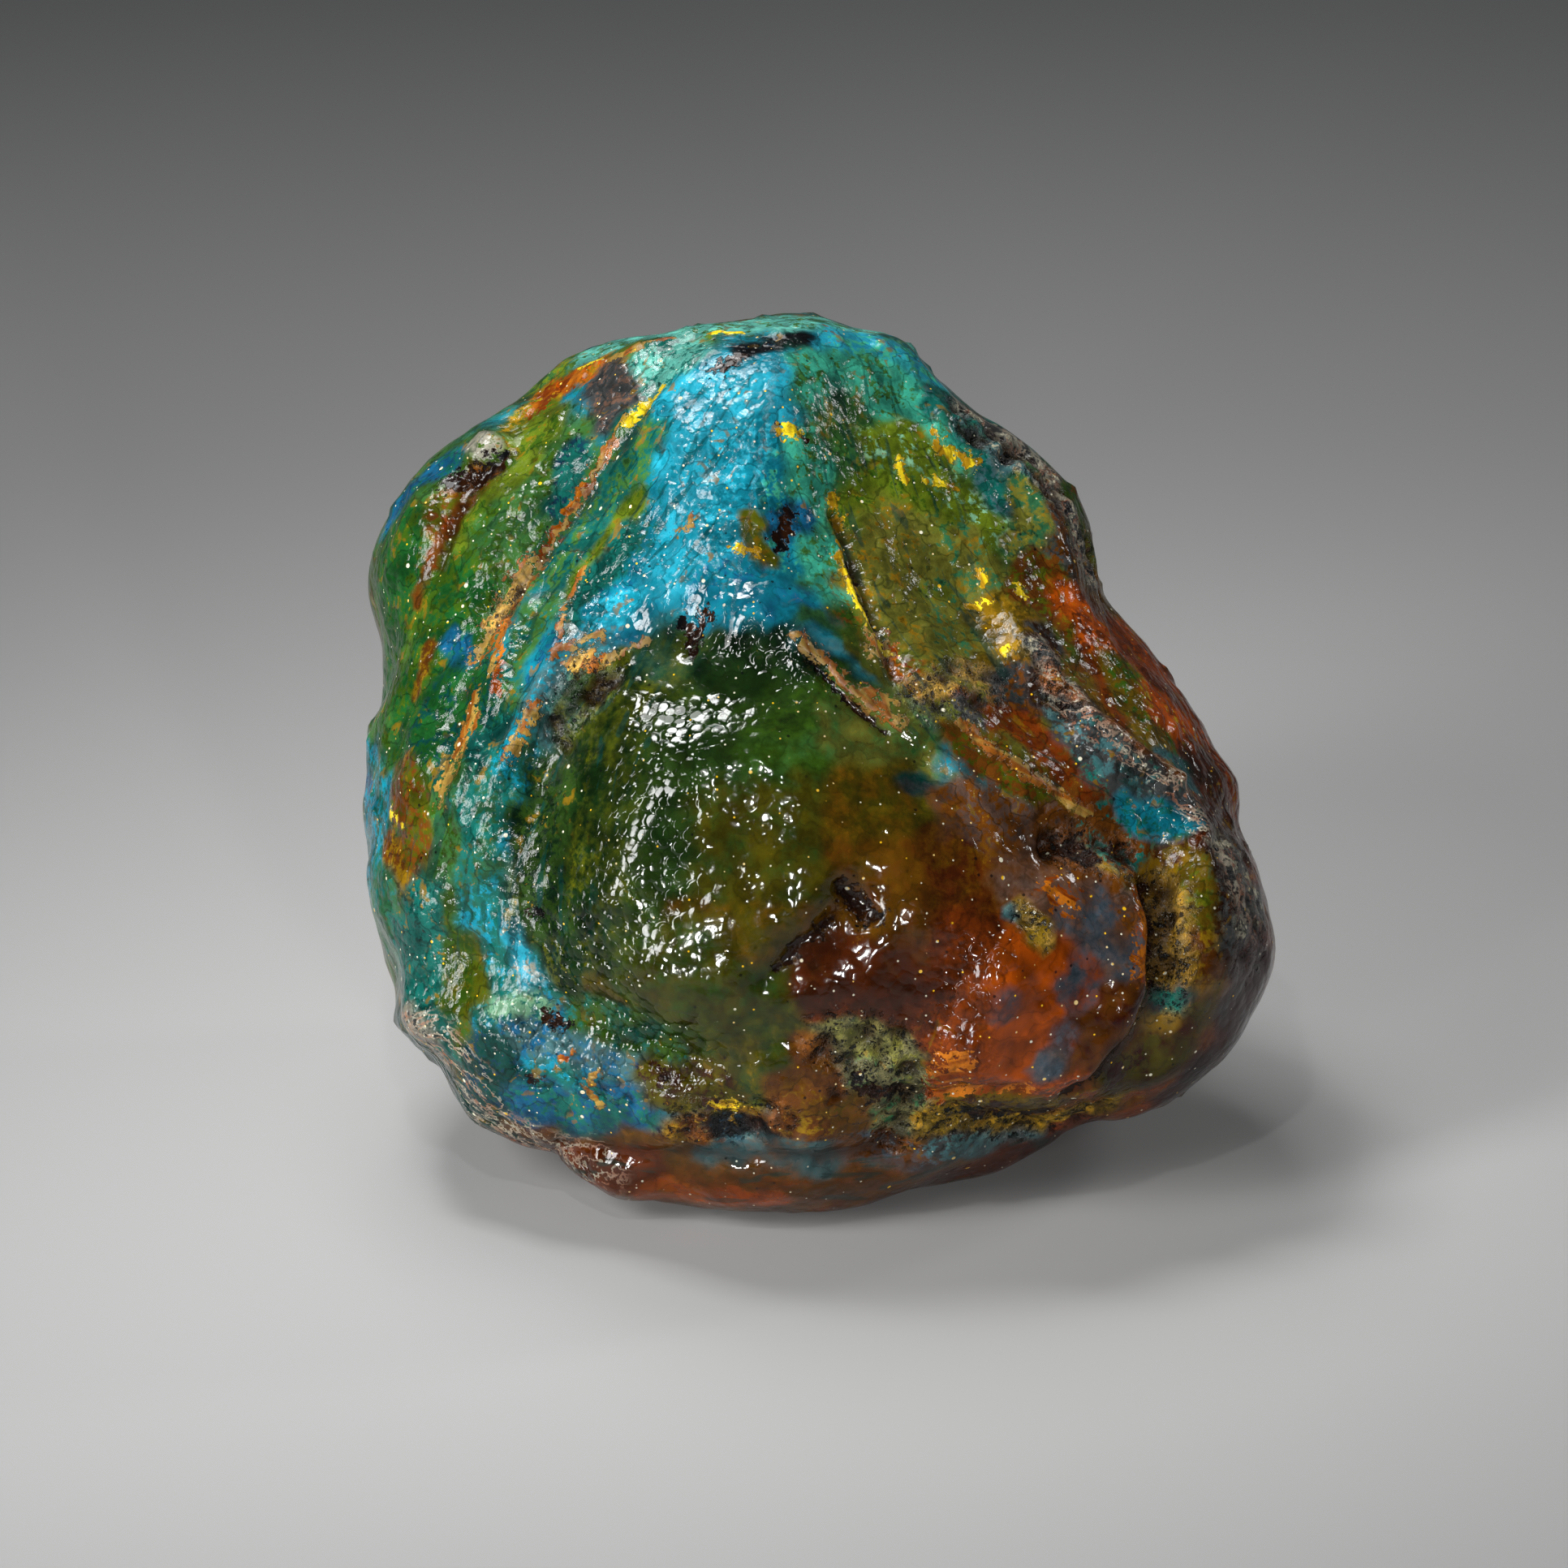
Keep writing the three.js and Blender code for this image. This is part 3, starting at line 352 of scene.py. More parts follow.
# The same for the back.
BACK_VEINS = {
    "gold": [
        (0.35, (4, 12), (5, 10)), (0.3, (-3, -6), (-1.5, -8)), (0.3, (-16, 6), (-15, 4.6)),
        (0.3, (10, 16), (12, 15)), (0.25, (-8, 18), (-6.5, 15), (-6, 12)),
    ],
    "tan": [
        (0.45, (-14, 20), (-11.5, 17), (-9.5, 13.5), (-7.5, 9.5), (-6, 6)),
        (0.75, (-9.5, 12.5), (-8, 9)), (0.3, (-6, 6), (-3, 3), (1, 0), (2.5, -4.5), (6, -8)),
        (0.35, (12, 12), (14, 7), (13, 2), (15.5, -3)), (0.5, (-19, -2), (-17.5, -6), (-18.5, -9)),
    ],
    "rust": [
        (0.4, (-6, 6), (-9.5, 5), (-13, 3), (-16, 0.5), (-19, -3)),
        (0.3, (-9.5, 5), (-11, 1), (-11, -3), (-13, -7)),
        (0.3, (6, 18), (7, 13), (10, 9), (10.5, 5)), (0.35, (4, -12), (9, -14), (14, -13)),
    ],
    "dark": [
        (0.5, (-13.5, -1), (-12.5, -3)), (0.45, (7, 8), (8.5, 6.5)),
        (0.2, (-4, 16), (-2.5, 11), (-3, 7), (0, 3)), (0.2, (-18, 12), (-16, 8), (-17, 4)),
        (0.5, (16, 1), (17.5, -1)),
    ],
}

# Sharp marks of the front that are finer than the solid's: how wide, how high (a crack is below
# zero), and the path.
CREASES = [
    (0.35, -0.3, (-10, 24.6), (-12.2, 20.8), (-14, 17.7), (-18.8, 11.4), (-21, 8), (-22.4, 4.5)),
    (0.35, -0.4, (-20.8, 18.9), (-22, 17.5), (-22.9, 15.7), (-23.9, 12.6)),
    (0.3, -0.4, (0.8, 16.2), (2.1, 12.6), (3.4, 9.6), (4.6, 6)),
    (0.3, 0.25, (0.2, 16.4), (1.4, 12.8), (2.7, 9.6), (3.9, 6.2)),
    (0.4, 0.3, (-16.3, 10.1), (-17.3, 6), (-18.6, 3), (-19.8, 0.4)),
    (0.5, 0.35, (-18.2, 10.4), (-19.8, 7), (-20.9, 4), (-21.9, 0.5), (-23, -2)),
    (0.35, 0.3, (-1.2, 8.1), (0.7, 6.3), (2.6, 4.3), (5.2, 3)),
    (0.35, -0.4, (-0.5, 6.8), (1.6, 4.5), (4.1, 2.5)),
    (0.5, 0.3, (6, 2.2), (9, -0.6), (12.8, -2.4)),
    (0.5, 0.4, (13.8, 7.5), (15.4, 5), (17.4, 3), (20, 0.9), (22.5, -1.1), (24, -3.7), (24.6, -6.2)),
    (0.4, 0.3, (14.9, 6), (16.9, 3.5), (19.9, 1.4), (22.5, -0.6)),
    (0.4, -0.5, (20.4, -7), (21.2, -10.3), (21.2, -13.4), (20.2, -16.2), (17.9, -19.2), (15.4, -20.6)),
    (0.45, 0.35, (19.2, -6.7), (20.2, -9.8), (20.2, -13.4), (19, -16.4), (16.6, -19)),
    (0.35, -0.3, (-15.8, -23), (-10.7, -24), (-5.6, -24.4), (0, -24.2), (5, -23.6)),
    (0.4, -0.4, (7, -20.4), (10, -19.9), (13, -20)),
    (0.5, -0.35, (1.5, -7.4), (2.6, -8.2), (3.4, -9.2)),
    (0.45, -0.3, (1.1, -9.3), (-1, -10.8), (-2.6, -12.6)),
    (0.35, 0.2, (-19.8, -9), (-19.4, -11.5), (-18.2, -13.6)),
    (2.1, 0.45, (-3.5, 9), (-2.8, 8.3)),
    (1.3, 0.35, (-2.1, 6.7), (-1.6, 5.9)),
    (2.4, 1.1, (-20.9, -22), (-16.8, -24.6), (-12.7, -25.6)),
    (1.5, 0.75, (11.6, -12), (11.2, -14.6), (10.2, -17.4)),
    (1.7, 0.4, (9.8, -18.2), (10.8, -18.6)),
    (1.2, 0.5, (-1.6, 8.4), (-0.6, 6.2), (0.2, 4)),
    (1.1, 0.5, (-25.4, -15.7), (-24.6, -16.2)),
    (0.8, 0.6, (-21.6, 19.6), (-20.6, 20.4)),
]

# The low step of the knuckle: how wide, how high, how far the raised side reaches, and the path,
# with the raised side on its right.
STEPS = [
    (1.6, 0.4, 4, (7.2, -18.5), (8, -14.9), (8.7, -12.3), (10.5, -9.8), (12.3, -8.3)),
]

# The left and right drapery of the upper face and the band along the toe: streaks run along these.
FLOW_GUIDES = [
    [(-3, 27), (-8, 19.8), (-14.2, 11.6), (-18.3, 4), (-21, -6), (-21.5, -14)],
    [(-2, 27), (0.8, 16.2), (3.4, 9.6), (8.7, 2), (16.9, -2), (24, -6), (26, -14)],
    [(-24, -17), (-15.8, -23), (-5.6, -25.5), (5, -25), (15, -21.5), (23, -16)],
]

# Zones of the surface, as strokes: how far each reaches, and its path.
ZONES = {
    "flowing": [
        (9, (-6, 22), (-12, 14), (-17, 4), (-20, -6)), (7, (3, 20), (5, 12)),
        (5, (5, 12), (10, 3), (16, 0)), (3, (-14, -24.5), (-4, -26.4), (6, -26), (14, -24)),
    ],
    "leathery": [
        (3.6, (-9.6, 2.4), (-11.2, -3.7), (-12.7, -9.3), (-14.7, -14.4)),
        (2.4, (-9.1, -17.4), (-12.7, -17.4)), (2.8, (-17.8, -17.4), (-13.7, -19.5)),
        (2, (-8.1, 9.6), (-2.5, 7.5), (-1.2, 6)), (2, (-13, 11), (-12, 12)),
        (2.6, (-22.9, -19.5), (-18.8, -24.1)), (2, (10.3, -11.8), (8.7, -17.6)),
        (1.4, (1.6, -8.6), (2.6, -9)), (1.6, (14.3, 7.5), (19, 1.6), (24, -4.2)),
    ],
    "beaded": [
        (3, (-14.5, -12), (-12, -15.5), (-8, -17.8)), (2.4, (-18, -18), (-12.5, -19.4)),
        (2.2, (-25, -15.8), (-22.5, -20), (-18, -23.6), (-14, -25)),
    ],
    "glassy": [
        (13, (-5, 2), (-4, -10)), (6, (4, -6), (5, -12)), (7.5, (13, -11), (14, -15)),
        (4, (-14, -24.5), (-4, -26.4), (6, -26), (14, -24)), (5, (27, -14), (22, -20)),
    ],
    "clear": [
        (13, (-5, 2), (-4, -10)), (6, (4, -6), (5, -12)),
        (4, (-14, -24.5), (-4, -26.4), (6, -26), (14, -24)),
    ],
    # Silver zones: the crust's own silver, with threads painted over it that stand in for glints.
    "silvery": [
        (1.3, (14, 7.5), (15.4, 5), (17.4, 3), (20, 0.9), (22.5, -1.1), (24, -3.7)),
        (1.2, (9.2, 22.6), (12.3, 20.8), (14.3, 18.8), (15.9, 15.7), (16.9, 12.6)),
        (2.4, (-23.5, -17.6), (-20.4, -21), (-16.8, -23.2), (-14, -24.4)),
        (1.2, (-25.6, -15.8), (-24.6, -16.4)), (1.8, (26, -5.8), (27.5, -9)),
    ],
    "crusted": [
        (2.8, (1.5, -16.8), (4.5, -18.5), (5.5, -21.5)),
        (1.8, (7, -21.8), (12, -22.2), (17, -21.4)), (3, (26.5, -6), (27.5, -10)),
        (1.7, (21.4, -7.5), (22.4, -10), (22.2, -14)), (0.8, (-19.2, 11), (-20.4, 8.8)),
        (1.3, (13.8, 7.5), (15.5, 4.5)), (0.9, (12.7, -9.2), (13.8, -10.3)),
        (2.2, (9.5, 22), (14.3, 18.6), (17, 13)), (2, (7, 4.6), (10, 5.4)),
        (1.6, (-14.2, 6), (-15.5, 3.4)), (1.6, (15.8, -4.7), (19, -5.6)),
        (1.8, (-8, -22.4), (-3, -22)),
    ],
}

# The same for the back.
BACK_ZONES = {
    "flowing": [
        (7, (-12, 20), (-8, 12), (-4, 2)), (6, (12, 16), (14, 4)),
    ],
    "beaded": [
        (3, (-16, -6), (-12, -12)), (2.4, (10, -6), (14, -9)),
    ],
    "leathery": [
        (3, (-14, 14), (-18, 6)), (2.6, (0, 20), (8, 18)), (2.4, (2, -10), (8, -12)),
    ],
    "glassy": [
        (8, (-6, -8), (4, -12)), (5, (16, -16), (12, -20)), (4, (-18, -16), (-12, -20)),
    ],
    "clear": [
        (7, (-6, -8), (4, -12)),
    ],
    "silvery": [
        (1.4, (17, 4), (18.5, -2), (18, -6)), (1.2, (-20, 2), (-19.5, -4)),
    ],
    "crusted": [
        (1.8, (16, 6), (18, 0)), (1.6, (-8.5, 12), (-7.5, 9)), (2.2, (8, 2), (10, -2)),
        (1.8, (-15, -10), (-12, -13)),
    ],
}


def linear(name):
    """A palette colour in linear light, at the paint's strength."""
    code = PALETTE[name]
    srgb = np.array([int(code[i:i + 2], 16) for i in (1, 3, 5)]) / 255
    return PAINT_STRENGTH * np.where(srgb <= 0.04045, srgb / 12.92, ((srgb + 0.055) / 1.055) ** 2.4)


def solid_mesh(name):
    """The points, in mm, and the triangles of a CAD node, with doubled points merged."""
    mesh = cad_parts[name].data
    points = np.empty(len(mesh.vertices) * 3)
    mesh.vertices.foreach_get("co", points)
    mesh.calc_loop_triangles()
    corners = np.empty(len(mesh.loop_triangles) * 3, dtype=np.int32)
    mesh.loop_triangles.foreach_get("vertices", corners)
    keys = np.round(points.reshape(-1, 3) * 1e6).astype(np.int64)
    merged, places = np.unique(keys, axis=0, return_inverse=True)
    return merged / 1000, places.reshape(-1)[corners].reshape(-1, 3)


def subdivided(points, triangles):
    """One step of Loop subdivision of a closed mesh."""
    a, b, c = triangles.T
    ends = np.sort(np.concatenate([np.stack(pair, 1) for pair in ((a, b), (b, c), (c, a))]), axis=1)
    edges, edge_of = np.unique(ends, axis=0, return_inverse=True)
    edge_of = edge_of.reshape(-1)
    across = np.zeros((len(edges), 3))
    np.add.at(across, edge_of, points[np.concatenate([c, a, b])])
    middles = 0.375 * points[edges].sum(axis=1) + 0.125 * across
    beside = np.zeros_like(points)
    np.add.at(beside, edges[:, 0], points[edges[:, 1]])
    np.add.at(beside, edges[:, 1], points[edges[:, 0]])
    count = np.bincount(edges.ravel(), minlength=len(points))[:, None]
    share = np.where(count == 3, 3 / 16, 3 / 8 / count)
    corners = (1 - count * share) * points + share * beside
    ab, bc, ca = edge_of.reshape(3, -1) + len(points)
    pieces = [(a, ab, ca), (b, bc, ab), (c, ca, bc), (ab, bc, ca)]
    return np.concatenate([corners, middles]), np.concatenate([np.stack(piece, 1) for piece in pieces])


def point_normals(points, triangles):
    corner = points[triangles]
    facing = np.cross(corner[:, 1] - corner[:, 0], corner[:, 2] - corner[:, 0])
    normals = np.zeros_like(points)
    for i in range(3):
        np.add.at(normals, triangles[:, i], facing)
    return normals / np.linalg.norm(normals, axis=1)[:, None]


def smoothstep(value, low, high):
    share = np.clip((value - low) / (high - low), 0, 1)
    return share * share * (3 - 2 * share)


def noise(points, size, seed):
    """Smooth noise of that feature size, from about -1 to 1."""
    slopes = np.random.default_rng(seed).normal(size=(SLOPES, 3))
    slopes /= np.linalg.norm(slopes, axis=1)[:, None]
    places = points / size + 1000
    cell = np.floor(places).astype(np.int64)
    inside = places - cell
    blend = inside ** 3 * (inside * (inside * 6 - 15) + 10)
    total = np.zeros(len(points))
    for corner in np.ndindex(2, 2, 2):
        key = (cell + corner) @ HASH
        slope = slopes[(key ^ (key >> 11)) % SLOPES]
        weight = np.prod(np.where(corner, blend, 1 - blend), axis=1)
        total += weight * ((inside - corner) * slope).sum(axis=1)
    return total * 1.6


def rough_noise(points, size, seed, octaves=4, roughness=0.6):
    """Noise with finer and weaker noise laid over it."""
    total = np.zeros(len(points))
    reach = 0
    for i in range(octaves):
        total += roughness ** i * noise(points, size / 2 ** i, seed + 100 * i)
        reach += roughness ** (2 * i)
    return total / math.sqrt(reach)


def from_path(places, path):
    """How far each place is from a path, which side it is on, and how far along the nearest part is."""
    path = np.array(path, float)
    nearest = np.full(len(places), np.inf)
    side = np.ones(len(places))
    along = np.zeros(len(places))
    before = 0
    for start, end in zip(path, path[1:]):
        run = end - start
        length = np.hypot(*run)
        share = np.clip((places - start) @ run / length ** 2, 0, 1)
        off = places - start - share[:, None] * run
        distance = np.hypot(*off.T)
        closer = distance < nearest
        nearest[closer] = distance[closer]
        side[closer] = np.sign(run[0] * off[closer, 1] - run[1] * off[closer, 0])
        along[closer] = before + share[closer] * length
        before += length
    return nearest, side, along


class Surface:
    """The nodule's fine surface: its points in face axes, and where each is seen on the face."""

    def __init__(self, points, triangles):
        self.points = points
        self.normals = point_normals(points, triangles)
        self.face = (points - FACE_ORIGIN) @ FACE_AXES.T
        self.out = self.normals @ FACE_AXES[2]
        spread = VIEW_DISTANCE / (VIEW_DISTANCE - self.face[:, 2])
        self.seen = self.face[:, :2] * spread[:, None]
        self.front = smoothstep(self.out, -0.15, 0.15)

    def anchors(self, path, spacing, side):
        """Points of the surface at even steps along a path over the front (side 1) or back (-1)."""
        path = np.array(path, float)
        steps = np.hypot(*np.diff(path, axis=0).T)
        at = np.concatenate([[0], np.cumsum(steps)])
        wanted = np.linspace(0, at[-1], max(2, int(at[-1] / spacing) + 2))
        places = np.stack([np.interp(wanted, at, path[:, i]) for i in (0, 1)], 1)
        usable = np.flatnonzero(self.out * side > 0)
        found = []
        for place in places:
            gap = np.hypot(*(self.seen[usable] - place).T)
            found.append(usable[np.argmin(gap)])
        return self.points[found]

    def share_of_reach(self, reach, path, warped, side):
        """How far every warped point is from a path, as a share of reach, up to FAR."""
        marks = self.anchors(path, max(0.2, reach * 0.35), side)
        result = np.full(len(warped), FAR)
        room = reach * FAR
        inside = np.all((warped > marks.min(axis=0) - room) & (warped < marks.max(axis=0) + room), axis=1)
        close = np.full(inside.sum(), np.inf)
        chosen = warped[inside]
        for mark in marks:
            np.minimum(close, ((chosen - mark) ** 2).sum(axis=1), out=close)
        result[inside] = np.minimum(np.sqrt(close) / reach, FAR)
        return result


points, triangles = solid_mesh("amber_nodule")
for _ in range(2):
    points, triangles = subdivided(points, triangles)
surface = Surface(points, triangles)

# Places are pushed about before strokes are laid, so that no edge is smooth.
push = np.stack([noise(points, 3.2, seed) for seed in (11, 12, 13)], 1)
push += 0.45 * np.stack([noise(points, 1.3, seed) for seed in (14, 15, 16)], 1)
fine_rag, middle_rag = noise(points, 0.9, 21), noise(points, 1.8, 22)
wide_rag = noise(points, 4, 23) + 0.5 * noise(points, 1.5, 24)


def pushed(reach, most):
    """The points, pushed about by a share of a stroke's reach."""
    return points + push * min(0.3 * reach, most)


def ragged(reach, path, warped, side):
    """How far warped points are from a path, with an edge that is coarser on a wider stroke."""
    rag = fine_rag if reach < 1.6 else middle_rag if reach < 4 else wide_rag
    return surface.share_of_reach(reach, path, warped, side) + 0.3 * rag


# Paint: two colours at every point, and the share of the second.
first = np.zeros((len(points), 3)) + linear("moss")
second = np.zeros((len(points), 3)) + linear("brown")
share = np.full(len(points), 0.4)
for strokes, side in ((BACK_STROKES, -1), (FRONT_STROKES, 1)):
    for name, other, part, reach, *path in strokes:
        edge = ragged(reach, path, pushed(reach, 1.1), side)
        softness = 0.75 if reach > 5 else 0.4
        weight = 1 - smoothstep(edge, 1.1 - softness, 1.1)
        first += weight[:, None] * (linear(name) - first)
        second += weight[:, None] * (linear(other) - second)
        share += weight * (part - share)

veins = {kind: np.full(len(points), FAR) for kind in VEINS}
zones = {zone: np.zeros(len(points)) for zone in ZONES}
for lines, areas, side in ((VEINS, ZONES, 1), (BACK_VEINS, BACK_ZONES, -1)):
    for kind, reach, *path in ((kind, *line) for kind in lines for line in lines[kind]):
        away = surface.share_of_reach(reach, path, pushed(reach, 0.35), side)
        veins[kind] = np.minimum(veins[kind], away)
    for zone, reach, *path in ((zone, *area) for zone in areas for area in areas[zone]):
        edge = ragged(reach, path, points + 0.5 * push, side)
        zones[zone] = np.maximum(zones[zone], 1 - smoothstep(edge, 0.6, 1.15))

# Streaks run along the nearest guide: how far along it and how far from it each point is. The gap
# keeps the streaks of one guide from going on in the next.
GUIDE_GAP = 80
flow = np.zeros((len(points), 3))
nearest = np.full(len(points), np.inf)
for i, guide in enumerate(FLOW_GUIDES):
    distance, side, along = from_path(surface.seen, guide)
    closer = distance < nearest
    nearest[closer] = distance[closer]
    place = np.stack([along + GUIDE_GAP * i, distance * side, surface.face[:, 2] * 0.3], 1)
    flow[closer] = place[closer]

# Where the second colour shows, where it is cloudy, and where thin films of ochre run.
mottle = rough_noise(points + 0.5 * push, 1.6, 51)
streaky = rough_noise(flow * [0.14, 1, 0.6], 0.8, 52, 3)
mottle += 0.75 * zones["flowing"] * (streaky - mottle)
shows = mottle / 3 - 0.5 + share
cloud = rough_noise(points, 1.9, 53, 3)
film = np.abs(rough_noise(points + 0.8 * push, 2.8, 54, 3))

# The fine relief, in mm.
height = 0.1 * noise(points, 2.4, 31) + 0.06 * noise(points, 1.2, 32)
height *= 0.35 + 0.65 * (1 - zones["glassy"]) + 0.5 * zones["crusted"]
streaks = noise(flow * [0.12, 1.1, 1], 1, 33) + 0.6 * noise(flow * [0.2, 2.4, 1], 1, 34)
height += 0.05 * streaks * zones["flowing"]
crumbs = np.abs(noise(points, 1.1, 35)) + 0.5 * np.abs(noise(points, 0.6, 36))
height += zones["crusted"] * (0.3 * crumbs - 0.1)
uneven_face = surface.seen + 0.25 * push[:, :2]
for width, rise, *path in CREASES:
    distance = from_path(uneven_face, path)[0]
    height += surface.front * rise * np.exp(-((distance / width) ** 2))
for width, rise, fade, *path in STEPS:
    distance, side, _ = from_path(uneven_face, path)
    raised = smoothstep(-distance * side, -width, width) * np.exp(-((distance / fade) ** 2))
    height += surface.front * rise * raised
for kind, rise in (("gold", 0.06), ("tan", 0.14), ("rust", -0.1), ("dark", -0.12)):
    height += rise * (1 - smoothstep(veins[kind] + 0.6 * fine_rag, 0.3, 1.1))


def scatter(count, seed, where, smallest, largest, rise):
    """Small round pits or domes, at random places where the weight allows."""
    random = np.random.default_rng(seed)
    chosen = random.choice(len(points), count, replace=False, p=where / where.sum())
    sizes = random.uniform(smallest, largest, count)
    total = np.zeros(len(points))
    for i, size in zip(chosen, sizes):
        gap = ((points - points[i]) ** 2).sum(axis=1) / size ** 2
        close = gap < 4
        total[close] += rise * size * np.exp(-gap[close] * 1.5)
    return total


height += scatter(260, 41, zones["crusted"] ** 2 + 1e-9, 0.4, 0.8, -0.6)
height += scatter(420, 42, (1 - zones["glassy"]) * (1 - zones["crusted"]) + 1e-9, 0.4, 0.75, 0.35)
height += scatter(80, 43, zones["glassy"] + 1e-9, 0.35, 0.6, -0.35)

# The worn flat stays flat. Hollows are painted with shade, which begins 0.06 mm deep and is full at 0.46
# mm.
height *= smoothstep(points[:, 2], 0, 1.2)
hollow = np.clip(-height / 0.4 - 0.15, 0, 1)
points = points + surface.normals * height[:, None]


def made_mesh(name):
    """The nodule's mesh, in metres, with its paint and zones as attributes."""
    mesh = bpy.data.meshes.new(name)
    mesh.from_pydata((points / 1000).tolist(), [], triangles.tolist())
    mesh.polygons.foreach_set("use_smooth", [True] * len(triangles))
    ones = np.ones(len(points))
    colours = {
        "first": np.column_stack([first, ones]),
        "second": np.column_stack([second, ones]),
        "veins": np.column_stack([veins[kind] / FAR for kind in ("gold", "tan", "rust", "dark")]),
    }
    for key, values in colours.items():
        layer = mesh.attributes.new(key, "FLOAT_COLOR", "POINT")
        layer.data.foreach_set("color", values.astype(np.float32).ravel())
    layer = mesh.attributes.new("flow", "FLOAT_VECTOR", "POINT")
    layer.data.foreach_set("vector", flow.astype(np.float32).ravel())
    numbers = {"shows": shows, "cloud": cloud, "film": film, "hollow": hollow, **zones}
    for key, values in numbers.items():
        layer = mesh.attributes.new(key, "FLOAT", "POINT")
        layer.data.foreach_set("value", values.astype(np.float32))
    return mesh


class Graph:
    """Short calls for building a material's nodes. Most give an output socket."""

    def __init__(self, material):
        material.use_nodes = True
        self.tree = material.node_tree
        self.tree.nodes.clear()

    def node(self, kind, inputs, **settings):
        """A new node, its inputs linked to sockets or set to values."""
        node = self.tree.nodes.new(kind)
        for key, value in settings.items():
            setattr(node, key, value)
        for key, value in inputs.items():
            if isinstance(value, bpy.types.NodeSocket):
                self.tree.links.new(value, node.inputs[key])
            else:
                node.inputs[key].default_value = value
        return node

    def attribute(self, name, output="Fac"):
        return self.node("ShaderNodeAttribute", {}, attribute_name=name).outputs[output]

    def math(self, operation, a, b=0.0, c=0.0):
        return self.node("ShaderNodeMath", {0: a, 1: b, 2: c}, operation=operation).outputs[0]

    def times(self, a, b):
        return self.math("MULTIPLY", a, b)

    def mad(self, a, b, c):
        """a times b, plus c."""
        return self.math("MULTIPLY_ADD", a, b, c)

    def vector(self, operation, a, b):
        node = self.node("ShaderNodeVectorMath", {0: a, 1: b}, operation=operation)
        return node.outputs["Value" if operation == "DOT_PRODUCT" else "Vector"]

    def noise(self, at, size, detail, roughness, distortion=0.0):
        inputs = {"Vector": at, "Scale": 1 / size, "Detail": detail, "Roughness": roughness}
        inputs["Distortion"] = distortion
        return self.node("ShaderNodeTexNoise", inputs).outputs["Fac"]

    def cells(self, at, size):
        """The outputs of a pattern of cells: the distance, colour and position of each centre."""
        return self.node("ShaderNodeTexVoronoi", {"Vector": at, "Scale": 1 / size}).outputs

    def step(self, value, low, high, start=0.0, end=1.0):
        """A smooth step from start to end as value goes from low to high."""
        inputs = {"Value": value, "From Min": low, "From Max": high, "To Min": start, "To Max": end}
        return self.node("ShaderNodeMapRange", inputs, interpolation_type="SMOOTHSTEP").outputs[0]

    def mix(self, share, a, b, blend="MIX"):
        inputs = {0: share, 6: a, 7: b}
        return self.node("ShaderNodeMix", inputs, data_type="RGBA", blend_type=blend).outputs[2]

    def blend(self, share, a, b):
        """A number between a and b."""
        inputs = {0: share, 2: a, 3: b}
        return self.node("ShaderNodeMix", inputs, data_type="FLOAT").outputs[0]


def colour(name, gain=1.0):
    return (*(linear(name) * gain), 1)


def shared_fields(g):
    """The places, zones and patterns that the paint, the gloss and the relief share."""
    f = SimpleNamespace()
    place = g.node("ShaderNodeTexCoord", {}).outputs["Object"]
    f.place = g.vector("MULTIPLY", place, (1000, 1000, 1000))
    for name in (*ZONES, "hollow", "cloud"):
        setattr(f, name, g.attribute(name))
    f.opaque = g.math("SUBTRACT", 1.0, f.glassy)
    f.fine = g.mad(g.noise(f.place, 0.55, 3, 0.65), 5.0, -2.5)
    flow_place = g.vector("MULTIPLY", g.attribute("flow", "Vector"), (0.14, 1, 0.6))
    f.streak = g.noise(flow_place, 0.75, 2, 0.6, 0.6)

    # Veins, each kind ragged at its edge.
    channels = g.node("ShaderNodeSeparateColor", {0: g.attribute("veins", "Color")}).outputs
    away = dict(zip(("gold", "tan", "rust"), channels), dark=g.attribute("veins", "Alpha"))
    uneven = g.times(f.fine, 1.1)
    f.veins = {}
    for kind, distance in away.items():
        f.veins[kind] = g.step(g.mad(distance, FAR, uneven), 0.95, 0.6)

    # Cells of the skin: plates where it is leathery, pores where it is crusted. The pores are painted
    # black as painted shade.
    shift = g.times(f.fine, g.times(f.crusted, 0.7))
    f.cells_place = g.vector("ADD", f.place, g.vector("MULTIPLY", (1, 1, 1), shift))
    f.skin = g.cells(f.cells_place, 0.7)
    hole = g.times(g.step(f.skin["Distance"], 0.34, 0.2), g.step(f.cloud, -0.5, 0.1))
    f.hole = g.times(g.math("MAXIMUM", hole, g.step(f.fine, -0.45, -0.75)), f.crusted)
    return f


